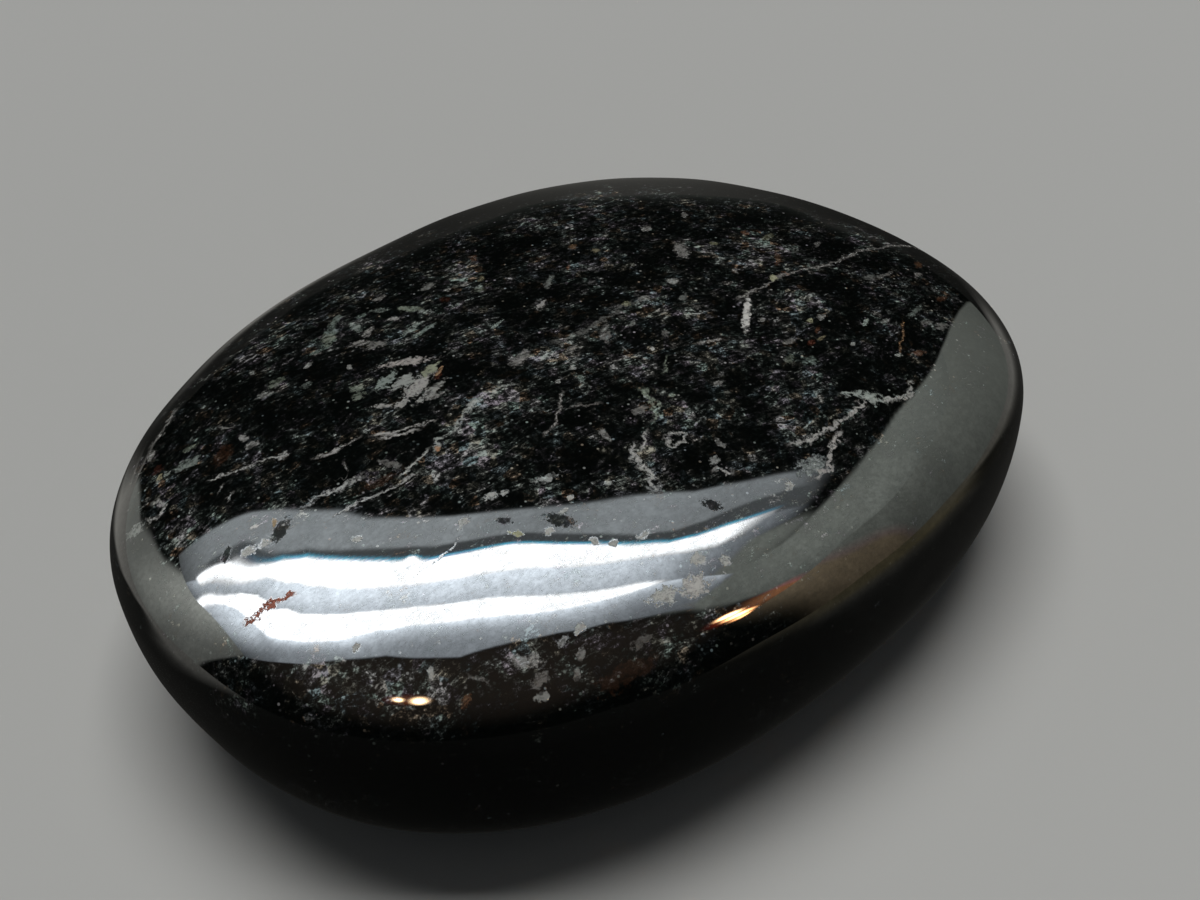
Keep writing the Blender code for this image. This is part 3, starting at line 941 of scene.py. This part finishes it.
# %% Polish
REFRACTION = 1.65
POLISHED = 0.03
DULL = 0.55
SUNK = 0.004 * MM
TEXTURE_STEPS = 4.0
SHINE = (0.66, 0.36)
DULL_SHINE = 0.12
TORN_SHINE = 0.03
TORN_RAGGED = 0.6

pale = add(rock, "Math", vein, flake, operation="MAXIMUM")
shine = add(rock, "MapRange", texture, -TEXTURE_STEPS, TEXTURE_STEPS, *SHINE)
ragged = add(rock, "MapRange", tear, -TEAR_REACH, TEAR_REACH, -TORN_RAGGED, TORN_RAGGED)
torn = add(rock, "Math", ragged, add(rock, "Attribute", attribute_name="torn", out="Fac"), operation="ADD")
torn = add(rock, "MapRange", torn, 0.05, 0.3, 0.0, 1.0)
roughness = add(rock, "Math", pale, torn, operation="MAXIMUM")
roughness = add(rock, "MapRange", roughness, 0.05, 0.5, POLISHED, DULL)
specular = add(rock, "MapRange", pale, 0.1, 0.5, shine, DULL_SHINE)
specular = add(rock, "Mix", torn, specular, TORN_SHINE)
sunken = add(rock, "Math", pale, -1.0, operation="MULTIPLY")
bump = add(rock, "Bump", Height=sunken, Distance=SUNK, Strength=1.0)
shader = add(rock, "BsdfPrincipled", Base_Color=colour, Roughness=roughness, IOR=REFRACTION, Normal=bump,
             Specular_IOR_Level=specular)
add(rock, "OutputMaterial", shader)
stone.data.materials.append(nuummite)
print(len(rock.nodes), "nodes in the stone's material")

# %% [markdown]
# ## Places as the viewer sees them
# Everything round the stone is placed by the viewer's own directions, in millimetres: so far to the
# right, so far beyond the stone, and so high.

# %% Places
def spot_mm(right, beyond, up):
    """Points in metres from millimetres to the viewer's right, away from the viewer, and up."""
    parts = ((right, RIGHT), (beyond, BEYOND), (up, UP))
    return sum(np.multiply.outer(np.asarray(length, dtype=float), way) for length, way in parts) * MM


print("100 mm beyond the stone is", np.round(spot_mm(0.0, 100.0, 0.0) / MM, 1), "mm")

# %% [markdown]
# ## A pale table
# The stone lies on a plain, matt, pale table. The polish doesn't mirror it, because the ground that
# it mirrors is made further on.

# %% Table
TABLE_COLOUR = "#cdcdca"
TABLE_REACH = 3.0

corners = np.array([(-1.0, -1.0, 0.0), (1.0, -1.0, 0.0), (1.0, 1.0, 0.0), (-1.0, 1.0, 0.0)])
table = mesh_object("table", corners * TABLE_REACH, np.array([[0, 1, 2, 3]]))
matte = bpy.data.materials.new("matte_table")
matte.use_nodes = True
matte.node_tree.nodes.clear()
matte_shader = add(matte.node_tree, "BsdfDiffuse", Color=linear(TABLE_COLOUR), Roughness=0.8)
add(matte.node_tree, "OutputMaterial", matte_shader)
table.data.materials.append(matte)
table.visible_glossy = False
print("table", 2.0 * TABLE_REACH, "m wide")

# %% [markdown]
# ## Soft light
# One large softbox hangs over the stone, a little beyond it and to the left, so a soft shadow falls
# towards the viewer and to the right. The pale room adds a weak light from all sides. Neither is
# mirrored: what the polish mirrors is made by itself in the next steps.

# %% Softbox and room
SOFTBOX_PLACE = (-130.0, 190.0, 1200.0)
SOFTBOX_SIZE = (0.90, 0.60)
SOFTBOX_POWER = 10.8
ROOM_COLOUR = "#3e4042"

softbox_data = bpy.data.lights.new("softbox", "AREA")
softbox_data.shape = "RECTANGLE"
softbox_data.size, softbox_data.size_y = SOFTBOX_SIZE
softbox_data.energy = SOFTBOX_POWER
softbox = bpy.data.objects.new("softbox", softbox_data)
softbox.location = spot_mm(*SOFTBOX_PLACE)
softbox.rotation_euler = (0.0, 0.0, VIEW_AZIMUTH)
softbox.visible_glossy = False
softbox.visible_camera = False
bpy.context.scene.collection.objects.link(softbox)

room = bpy.data.worlds.new("room")
room.color = linear(ROOM_COLOUR)[:3]
bpy.context.scene.world = room
room.cycles_visibility.glossy = False
print("softbox of", SOFTBOX_POWER, "W,", SOFTBOX_PLACE[2], "mm up")

# %% [markdown]
# ## What the polish mirrors
# A black mirror shows its surroundings more than itself, so they are made as carefully as the
# stone. The bands on its shoulder were followed back along the mirrored rays: they come from two
# bright tubes, a pale reflector between them and soft panels around them, on a ceiling 400 mm up.
# Ceiling, walls and ground are grids whose points glow by a formula. Two kinds of formula do most of
# it: straight lines through a few chosen points, and soft steps from dark to light.

# %% Lines and soft steps
def through(values, points):
    """Straight lines through a few points, each a place and the value there."""
    places, levels = np.array(points, dtype=float).T
    return np.interp(values, places, levels)


def soft_step(value, width):
    """Soft rise from 0 to 1 over the given width, half way at nought: t²·(3 - 2t)."""
    t = np.clip(value / width + 0.5, 0.0, 1.0)
    return t * t * (3.0 - 2.0 * t)


print("a quarter of its width past its middle a soft step is", round(float(soft_step(0.25, 1.0)), 2))

# %% [markdown]
# ## Surfaces that glow
# Each surface stores its light at every point, and its material only gives that light out. The
# surroundings are seen by mirrored rays alone, so they neither light the table nor show behind it.

# %% Glowing grids
def tinted(level, hex_colour):
    """Light of one level and tint: the level times the linear colour, scaled to a brightest part of 1."""
    tint = np.array(linear(hex_colour)[:3])
    return np.multiply.outer(level, tint / tint.max())


def glowing(name, points, glow, mirrored=True):
    """Grid of points that glows with a colour at each point, seen by mirrored rays or by the camera."""
    rows, columns = points.shape[:2]
    numbers = np.arange(rows * columns).reshape(rows, columns)
    made = mesh_object(name, points.reshape(-1, 3), squares(numbers, False))
    kept = made.data.attributes.new("glow", "FLOAT_VECTOR", "POINT")
    kept.data.foreach_set("vector", glow.astype(np.float32).ravel())
    light = bpy.data.materials.new(name + "_light")
    light.use_nodes = True
    light.node_tree.nodes.clear()
    shown = add(light.node_tree, "Attribute", attribute_name="glow", out="Vector")
    add(light.node_tree, "OutputMaterial", add(light.node_tree, "Emission", shown, 1.0))
    light.cycles.emission_sampling = "NONE"
    made.data.materials.append(light)
    made.visible_camera = not mirrored
    made.visible_glossy = mirrored
    made.visible_diffuse = False
    made.visible_shadow = False
    print(name, "has", rows * columns, "points, brightest", round(float(glow.max()), 1))


print("a warm lamp's tint is", np.round(tinted(1.0, "#ffc088"), 2))

# %% [markdown]
# ## Edges on the ceiling
# Each band of the ceiling lies between a near and a far edge. An edge is a curve through a few points:
# how far beyond the stone it lies at a place to the viewer's right, all in millimetres. The two
# tubes wander a little, because a hand-worn face isn't true.

# %% Edges of the bands
FAR_PANEL_EDGE = [
    (-600, 258), (-480, 262), (-360, 276), (-300, 291), (-240, 294), (-200, 287), (-160, 264), (-80, 250),
    (80, 243), (160, 232), (200, 240), (300, 225),
]
FAR_TUBE_TOP = [
    (-515, 158), (-480, 168), (-440, 178), (-400, 187), (-360, 198), (-320, 216), (-280, 227),
    (-240, 225), (-200, 207), (-160, 187), (-120, 165), (-80, 148), (-40, 148), (0, 154), (40, 148),
    (80, 143), (120, 125), (160, 114), (200, 124), (240, 144), (262, 150),
]
FAR_TUBE_BOTTOM = [
    (-515, 146), (-480, 154), (-440, 162), (-400, 174), (-360, 186), (-320, 196), (-280, 176),
    (-240, 156), (-200, 138), (-160, 118), (-120, 105), (-80, 101), (0, 98), (80, 96), (120, 97),
    (160, 93), (200, 96), (240, 109), (262, 128),
]
NEAR_TUBE_TOP = [
    (-640, 86), (-600, 96), (-560, 107), (-520, 118), (-480, 127), (-440, 138), (-400, 148),
    (-360, 145), (-340, 122), (-320, 96), (-280, 83), (-240, 54), (-200, 44), (-160, 36), (-120, 42),
    (-80, 48), (0, 45), (40, 36), (120, 36), (160, 35), (188, 28),
]
NEAR_TUBE_BOTTOM = [
    (-640, 74), (-600, 85), (-560, 96), (-520, 106), (-480, 110), (-450, 100), (-425, 70), (-400, 25),
    (-375, -10), (-350, -28), (-320, -38), (-280, -45), (-240, -54), (-200, -54), (-160, -45),
    (-120, -14), (-80, 2), (0, 3), (40, -3), (80, 4), (120, 12), (160, 18), (188, 25),
]
NEAR_PANEL_EDGE = [
    (-600, -135), (-440, -147), (-280, -148), (-240, -140), (-200, -122), (-160, -105), (-120, -87),
    (-80, -95), (-40, -100), (0, -108), (40, -78), (80, -62), (120, -58), (160, -47), (240, -53),
    (280, -62), (320, -78), (400, -88), (600, -88),
]
# The right panel's left edge: how far to the right it lies at a place beyond the stone
RIGHT_PANEL_EDGE = [
    (-100, 290), (18, 308), (79, 338), (178, 350), (244, 355), (376, 398), (578, 494), (806, 600),
    (850, 621),
]
near_tube_width = through(0, NEAR_TUBE_TOP) - through(0, NEAR_TUBE_BOTTOM)
print("over the stone the near tube is", near_tube_width, "mm wide")

# %% [markdown]
# ## The ceiling's grid
# The bands near the stone need edges of a few millimetres, so the grid is fine there. Towards the
# viewer the ceiling is dim and even, and a coarse grid is enough.

# %% Grid of the ceiling
CEILING = 400.0
SIDE = 600.0
ACROSS_STEP = 8.0
FINE_STEP, COARSE_STEP = 3.0, 40.0
CEILING_NEAR, FINE_FROM, CEILING_FAR = -1500.0, -460.0, 901.0

depths = [np.arange(CEILING_NEAR, FINE_FROM, COARSE_STEP), np.arange(FINE_FROM, CEILING_FAR, FINE_STEP)]
widths = np.arange(-SIDE, SIDE + 1.0, ACROSS_STEP)
u, v = np.meshgrid(widths, np.concatenate(depths), indexing="ij")
print("ceiling of", u.shape[0], "by", u.shape[1], "points")

# %% [markdown]
# ## The far panel
# Beyond the far tube lies a soft grey panel, and a dark gap parts the two. The gap shows on the stone
# as the dark line along the upper side of the bright bands.

# %% Far panel
FAR_PANEL_LIGHT = [
    (-600, 0.8), (-480, 1.8), (-400, 2.6), (-300, 2.9), (-80, 3.3), (20, 2.6), (100, 3.2), (240, 2.1),
    (300, 0.4),
]
GAP_WIDTH = [
    (-480, 8), (-400, 14), (-320, 16), (-280, 12), (-200, 18), (-100, 30), (0, 30), (60, 28), (120, 22),
    (200, 34), (260, 44),
]
GAP_LIGHT = 0.7
GAP_LEFT = -440.0
PANEL_RIGHT = 305.0

gap = soft_step(through(u, FAR_TUBE_TOP) + through(u, GAP_WIDTH) - v, 8.0) * soft_step(u - GAP_LEFT, 60.0)
far_panel = through(u, FAR_PANEL_LIGHT) * (1.0 - gap) + GAP_LIGHT * gap
far_panel = far_panel * soft_step(through(u, FAR_PANEL_EDGE) - v, 10.0) * soft_step(PANEL_RIGHT - u, 30.0)
far_panel = far_panel * soft_step(v - through(u, FAR_TUBE_BOTTOM), 8.0)
print("far panel's mean light", round(float(far_panel[far_panel > 0.1].mean()), 1))

# %% [markdown]
# ## Reflector and near panel
# Between the tubes a reflector is lit from both sides. On the viewer's side of the near tube the
# light fades in two steps, fast beside the tube and then slowly. Its left part is a plain ramp.

# %% Reflector and near panel
REFLECTOR_LIGHT = [
    (-600, 2.0), (-520, 5.0), (-360, 7.5), (-240, 11.0), (-160, 12.0), (20, 11.0), (100, 10.0), (160, 8.0),
    (200, 4.6), (240, 3.0), (290, 1.2),
]
PANEL_FADE = [(-600, 0.25), (-440, 0.75), (-380, 1.0), (100, 1.0), (190, 0.65), (240, 0.5), (290, 0.45)]
PANEL_LIGHT = 2.8
BESIDE_TUBE_LIGHT = 12.0
BESIDE_TUBE = 22.0
REFLECTOR_SHARE = (0.75, 0.5)
LEFT_PART = -385.0
LEFT_PART_LIGHT = [(-147, 1.4), (-100, 2.2), (-50, 4.5), (0, 9.0), (60, 12.0)]
LEFT_PART_FADE = [(-600, 0.42), (-450, 1.0)]

between = np.maximum(through(u, FAR_TUBE_BOTTOM) - through(u, NEAR_TUBE_TOP), 8.0)
nearness = np.clip((v - through(u, NEAR_TUBE_TOP)) / between, 0.0, 1.0)
reflector = through(u, REFLECTOR_LIGHT) * (REFLECTOR_SHARE[0] + REFLECTOR_SHARE[1] * nearness)
reflector = reflector * soft_step(through(u, FAR_TUBE_TOP) - 4.0 - v, 6.0)

below_tube = np.maximum(through(u, NEAR_TUBE_BOTTOM) - v, 0.0)
near_panel = PANEL_LIGHT + BESIDE_TUBE_LIGHT * np.exp(-below_tube / BESIDE_TUBE)
near_panel = near_panel * through(u, PANEL_FADE)
left_part = through(v, LEFT_PART_LIGHT) * through(u, LEFT_PART_FADE)
near_panel += (left_part - near_panel) * soft_step(LEFT_PART - u, 60.0)

inner_light = np.where(below_tube > 0.0, near_panel, reflector)
inner_light *= soft_step(v - through(u, NEAR_PANEL_EDGE), 7.0) * soft_step(300.0 - u, 40.0)
print("reflector's brightest point", round(float(inner_light.max()), 1))

# %% [markdown]
# ## The right panel and the dim room
# A greenish grey panel fills the ceiling to the right, with a darker corner piece that joins it to
# the near panel. Everything on the viewer's side is a dim, brownish room.

# %% Right panel, corner and dim room
RIGHT_PANEL_LIGHT = [(300, 1.3), (420, 1.5), (600, 1.1)]
RIGHT_PANEL_FADE = [(-100, 0.7), (60, 1.2), (200, 1.0), (700, 0.6)]
CORNER_LIGHT = 1.5
CORNER_SIDES = (230.0, 340.0)
CORNER_FAR = 120.0
DIM_ROOM = [(-1500, 0.0), (-900, 0.03), (-600, 0.08), (-350, 0.13), (-100, 0.13), (0, 0.0)]
DIM_ROOM_FADE = [(-600, 0.0), (-250, 1.0), (200, 1.0), (600, 0.1)]

near_edge = through(u, NEAR_PANEL_EDGE)
right_panel = through(u, RIGHT_PANEL_LIGHT) * soft_step(u - through(v, RIGHT_PANEL_EDGE), 10.0)
right_panel *= through(v, RIGHT_PANEL_FADE) * soft_step(v - near_edge, 30.0)
corner = CORNER_LIGHT * soft_step(CORNER_SIDES[1] - u, 60.0) * soft_step(u - CORNER_SIDES[0], 30.0)
corner *= soft_step(CORNER_FAR - v, 30.0) * soft_step(v - near_edge, 20.0)
dim_room = through(v, DIM_ROOM) * through(u, DIM_ROOM_FADE)
print("right panel's brightest point", round(float(right_panel.max()), 1))

# %% [markdown]
# ## The two tubes
# The tubes are the brightest things in the room, so bright that they burn out in the picture. Each is
# soft on the viewer's side. A thin blue fringe runs beyond the far one, which a lens draws there.

# %% Tubes
TUBE_LIGHT = 19.0
FAR_TUBE_SOFT = 24.0
TUBE_FAR_EDGE = 5.0
TUBE_ENDS = 24.0
FRINGE_LIGHT = 7.0
FRINGE_SHIFT = 6.0
FRINGE_LEFT = -310.0


def tube(u, v, top, bottom, light, soft=6.0):
    """Band between two edges, soft at its near edge, that fades out at both ends of their curves."""
    ends = np.minimum(u - top[0][0], top[-1][0] - u)
    inside = soft_step(through(u, top) - v, TUBE_FAR_EDGE)
    inside = inside * soft_step(v - through(u, bottom) + 0.3 * soft, soft)
    return light * inside * soft_step(ends, TUBE_ENDS)


fringe = tube(u, v - FRINGE_SHIFT, FAR_TUBE_TOP, FAR_TUBE_BOTTOM, FRINGE_LIGHT)
fringe *= soft_step(u - FRINGE_LEFT, 100.0)
far_tube = tube(u, v, FAR_TUBE_TOP, FAR_TUBE_BOTTOM, TUBE_LIGHT, FAR_TUBE_SOFT)
near_tube = tube(u, v, NEAR_TUBE_TOP, NEAR_TUBE_BOTTOM, TUBE_LIGHT)
print("tubes", round(TUBE_LIGHT / PANEL_LIGHT, 1), "times as bright as the near panel")

# %% [markdown]
# ## Warm lamps
# Away from the cool tubes hang two warm lamps. They mirror as small orange sparks low on the front
# of the stone, each white in the middle where it is too bright, and one lies in a faint warm glow.
# Where lights meet anywhere on the ceiling, the brighter one wins.

# %% Adding up the ceiling
COOL_WHITE = "#f8fcff"
CEILING_LIGHTS = [
    (far_panel, "#f0faff"), (dim_room, "#ffe2cc"), (inner_light, "#eaf5ff"),
    (np.maximum(right_panel, corner), "#f6fff4"), (fringe, "#5cc4e6"), (far_tube, COOL_WHITE),
    (near_tube, COOL_WHITE),
]
LAMP_EDGE = 1.3
# Each lamp: place to the right and beyond, half sizes (mm), light, tint
LAMPS = [
    (-128, -325, 17, 26, 90.0, "#ffd2a0"), (-68, -345, 30, 42, 90.0, "#ffd2a0"),
    (-100, -335, 80, 65, 1.4, "#d0784a"), (470, -148, 45, 16, 130.0, "#ffc088"),
    (530, -168, 55, 17, 130.0, "#ffb478"), (500, -155, 90, 40, 3.0, "#b8402a"),
    (580, -190, 50, 15, 60.0, "#ffb070"), (560, -100, 120, 90, 2.2, "#d89468"),
]

glow = np.max([tinted(level, tint) for level, tint in CEILING_LIGHTS], axis=0)
for right, beyond, half_right, half_beyond, light, tint in LAMPS:
    off = np.hypot((u - right) / half_right, (v - beyond) / half_beyond)
    glow = np.maximum(glow, tinted(light * np.clip(LAMP_EDGE - off, 0.0, 1.0) ** 2, tint))
glowing("ceiling", spot_mm(u, v, CEILING), glow)

# %% [markdown]
# ## The left wall
# A window's light lies on a stretch of the left wall, brightest high up. Its far end slants, so each
# height has an end of its own.

# %% Left wall
WALL_NEAR, WALL_FAR = -400.0, 1101.0
WALL_STEP = 5.0
LEFT_TINT = "#fafff6"
LEFT_EVEN = 0.72
LEFT_WINDOW = 2.2
WINDOW_MIDDLE, WINDOW_WIDTH = 90.0, 130.0
LEFT_NEAR = -118.0
LEFT_END = [(30, 520), (110, 440), (150, 350), (230, 310), (310, 225), (400, 190)]


def hill(value, middle, width):
    """Bell: exp(-((value - middle) / width)²)."""
    return np.exp(-((value - middle) / width) ** 2)


wall_places = np.arange(WALL_NEAR, WALL_FAR, WALL_STEP)
wall_v, wall_z = np.meshgrid(wall_places, np.arange(0.0, CEILING + 1.0, WALL_STEP), indexing="ij")
high = wall_z / CEILING
left_light = LEFT_EVEN + LEFT_WINDOW * high * hill(wall_v, WINDOW_MIDDLE, WINDOW_WIDTH)
left_light = left_light * soft_step(wall_v - LEFT_NEAR, 14.0)
left_light = left_light * soft_step(through(wall_z, LEFT_END) - wall_v, 60.0)
glowing("left_wall", spot_mm(np.full(high.shape, -SIDE), wall_v, wall_z), tinted(left_light, LEFT_TINT))

# %% [markdown]
# ## The right wall
# A fainter light lies on the right wall. It is cool along most of the wall and warm at its near end.

# %% Right wall
COOL_TINT, WARM_TINT = "#f7fff3", "#ffe6bf"
# Each light: at the foot of the wall, how much more at the ceiling, and the power of the rise
COOL_RISE = (0.4, 0.55, 1.3)
WARM_RISE = (0.50, 0.8, 1.6)
RIGHT_END = [(50, 985), (190, 935), (310, 870), (400, 806)]
RIGHT_FADE = [(400, 1.0), (900, 0.7)]


def rising(high, foot, more, power):
    """Light that rises up a wall: foot + more · high^power, where high is 1 at the ceiling."""
    return foot + more * high ** power


cool_light = rising(high, *COOL_RISE) * soft_step(through(wall_z, RIGHT_END) - wall_v, 30.0)
cool_light = cool_light * through(wall_v, RIGHT_FADE) * soft_step(wall_v + 60.0, 100.0)
warm_light = rising(high, *WARM_RISE) * soft_step(wall_v + 170.0, 160.0) * soft_step(30.0 - wall_v, 180.0)
right_glow = np.maximum(tinted(cool_light, COOL_TINT), tinted(warm_light, WARM_TINT))
glowing("right_wall", spot_mm(np.full(high.shape, SIDE), wall_v, wall_z), right_glow)

# %% [markdown]
# ## The ground round the stone
# The wall of the stone mirrors the ground, which here is a sheet that glows by a formula: the stone's shadow
# near it and the dark where the viewer stands are painted into its glow. Its grid runs round the stone: 0
# degrees lies beyond it and 90 degrees to the viewer's right, and each ring is a tenth wider than the one
# before. It lies a little under the table, so that the two never fight for the same place.

# %% Grid of the ground
RING_FIRST = 12.0
RING_GROWTH = 1.1
RING_COUNT = 53
GROUND_DEPTH = -0.05


def round_mm(degrees, far, height):
    """Points round the stone: far times sine to the right and far times cosine beyond it."""
    turn, far, height = np.broadcast_arrays(np.radians(degrees), far, height)
    return spot_mm(far * np.sin(turn), far * np.cos(turn), height)


rings = RING_FIRST * RING_GROWTH ** np.arange(RING_COUNT)
degrees, far = np.meshgrid(np.arange(-180.0, 181.0, 3.0), rings, indexing="ij")
print("ground reaches", round(rings[-1]), "mm")

# %% [markdown]
# ## Light on the ground
# The even part is weak: it is a little stronger beyond the stone, which gives the far rim its thin grey
# line. To the left and right painted light lies on the ground, from a distance that changes with the
# direction, and near the stone a painted shadow dims it.

# %% Ground
LEFT_LIT_FROM = [
    (-118, 44), (-108, 58), (-100, 85), (-90, 140), (-84, 60), (-80, 40), (-72, 42), (-64, 60),
    (-56, 95), (-48, 300),
]
LEFT_LIT = [(-120, 0.0), (-110, 0.4), (-100, 0.55), (-52, 0.55), (-44, 0.3), (-40, 0.0)]
RIGHT_LIT_FROM = [
    (38, 120), (44, 80), (56, 75), (72, 75), (80, 140), (84, 90), (90, 58), (104, 50), (120, 38),
]
RIGHT_LIT = [
    (36, 0.0), (42, 0.40), (64, 0.40), (72, 0.32), (96, 0.28), (112, 0.20), (118, 0.08), (124, 0.0),
]
PAINTED_OWN_SHADOW = [(24, 0.6), (30, 0.7), (42, 1.0)]
COOL_GROUND, WARM_GROUND = "#fffdf4", "#ffeebb"
EVEN_LIGHT, BEYOND_EVEN = 0.012, 0.005
# Each: light, and the direction and width of its hill in degrees
SIDE_HILLS = [(0.012, 125.0, 40.0), (0.022, -90.0, 40.0)]
BEYOND_HILLS = [(0.075, 2.0, 13.0), (0.010, -25.0, 8.0)]
NEAR_LIGHT_POOL = 0.25

beyond_light = BEYOND_EVEN + sum(light * hill(degrees, *place) for light, *place in BEYOND_HILLS)
ground = EVEN_LIGHT + sum(light * hill(degrees, *place) for light, *place in SIDE_HILLS) + beyond_light
# A painted pool of light just beyond the stone and to the left.
ground += NEAR_LIGHT_POOL * hill(degrees, -40.0, 11.0) * hill(far, 36.0, 16.0)
left_from, right_from = through(degrees, LEFT_LIT_FROM), through(degrees, RIGHT_LIT_FROM)
ground += through(degrees, LEFT_LIT) * soft_step(far - left_from, 0.6 * left_from)
ground += through(degrees, RIGHT_LIT) * (0.05 + 0.95 * soft_step(far - right_from, 0.9 * right_from))
# Painted shadow: the glow dims near the stone, where the stone would shade the ground.
ground *= through(far, PAINTED_OWN_SHADOW)
warm_part = (hill(degrees, 100.0, 22.0) * soft_step(far - 50.0, 40.0))[:, :, None]
ground_glow = tinted(ground, COOL_GROUND) * (1.0 - warm_part) + tinted(ground, WARM_GROUND) * warm_part
glowing("ground", round_mm(degrees, far, GROUND_DEPTH), ground_glow)

# %% [markdown]
# ## Horizon and backdrop
# A low band closes the mirrored room at the ground's edge. Another one is for the viewer: seen from low down
# the table would end at a dark edge, so a round wall closes the view. Its foot is painted with the shade
# that the table has there, and it neither lights the stone nor is mirrored by it.

# %% Horizon and backdrop
HORIZON_HEIGHTS = np.arange(0.0, 601.0, 20.0)
HORIZON_FADE = 80.0
HORIZON_TINT = "#f6fff4"
BACKDROP_TINT = "#a6a6a3"
BACKDROP_FAR = 1000.0
# Painted shade: the backdrop glows darker at its foot and brighter higher up.
BACKDROP_LIGHT = [(0, 0.31), (60, 0.34), (160, 0.37), (300, 0.385), (1000, 0.385)]

all_round = degrees[:, :1]
horizon = beyond_light[:, -1:] * np.exp(-HORIZON_HEIGHTS / HORIZON_FADE)
glowing("horizon", round_mm(all_round, rings[-1], HORIZON_HEIGHTS), tinted(horizon, HORIZON_TINT))

backdrop_heights, backdrop_light = np.array(BACKDROP_LIGHT).T
backdrop_light = np.broadcast_to(backdrop_light, (len(all_round), len(backdrop_light)))
backdrop_points = round_mm(all_round, BACKDROP_FAR, backdrop_heights)
glowing("backdrop", backdrop_points, tinted(backdrop_light, BACKDROP_TINT), mirrored=False)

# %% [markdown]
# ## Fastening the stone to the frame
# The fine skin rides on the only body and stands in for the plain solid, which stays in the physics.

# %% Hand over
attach(stone, "root")
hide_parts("stone")
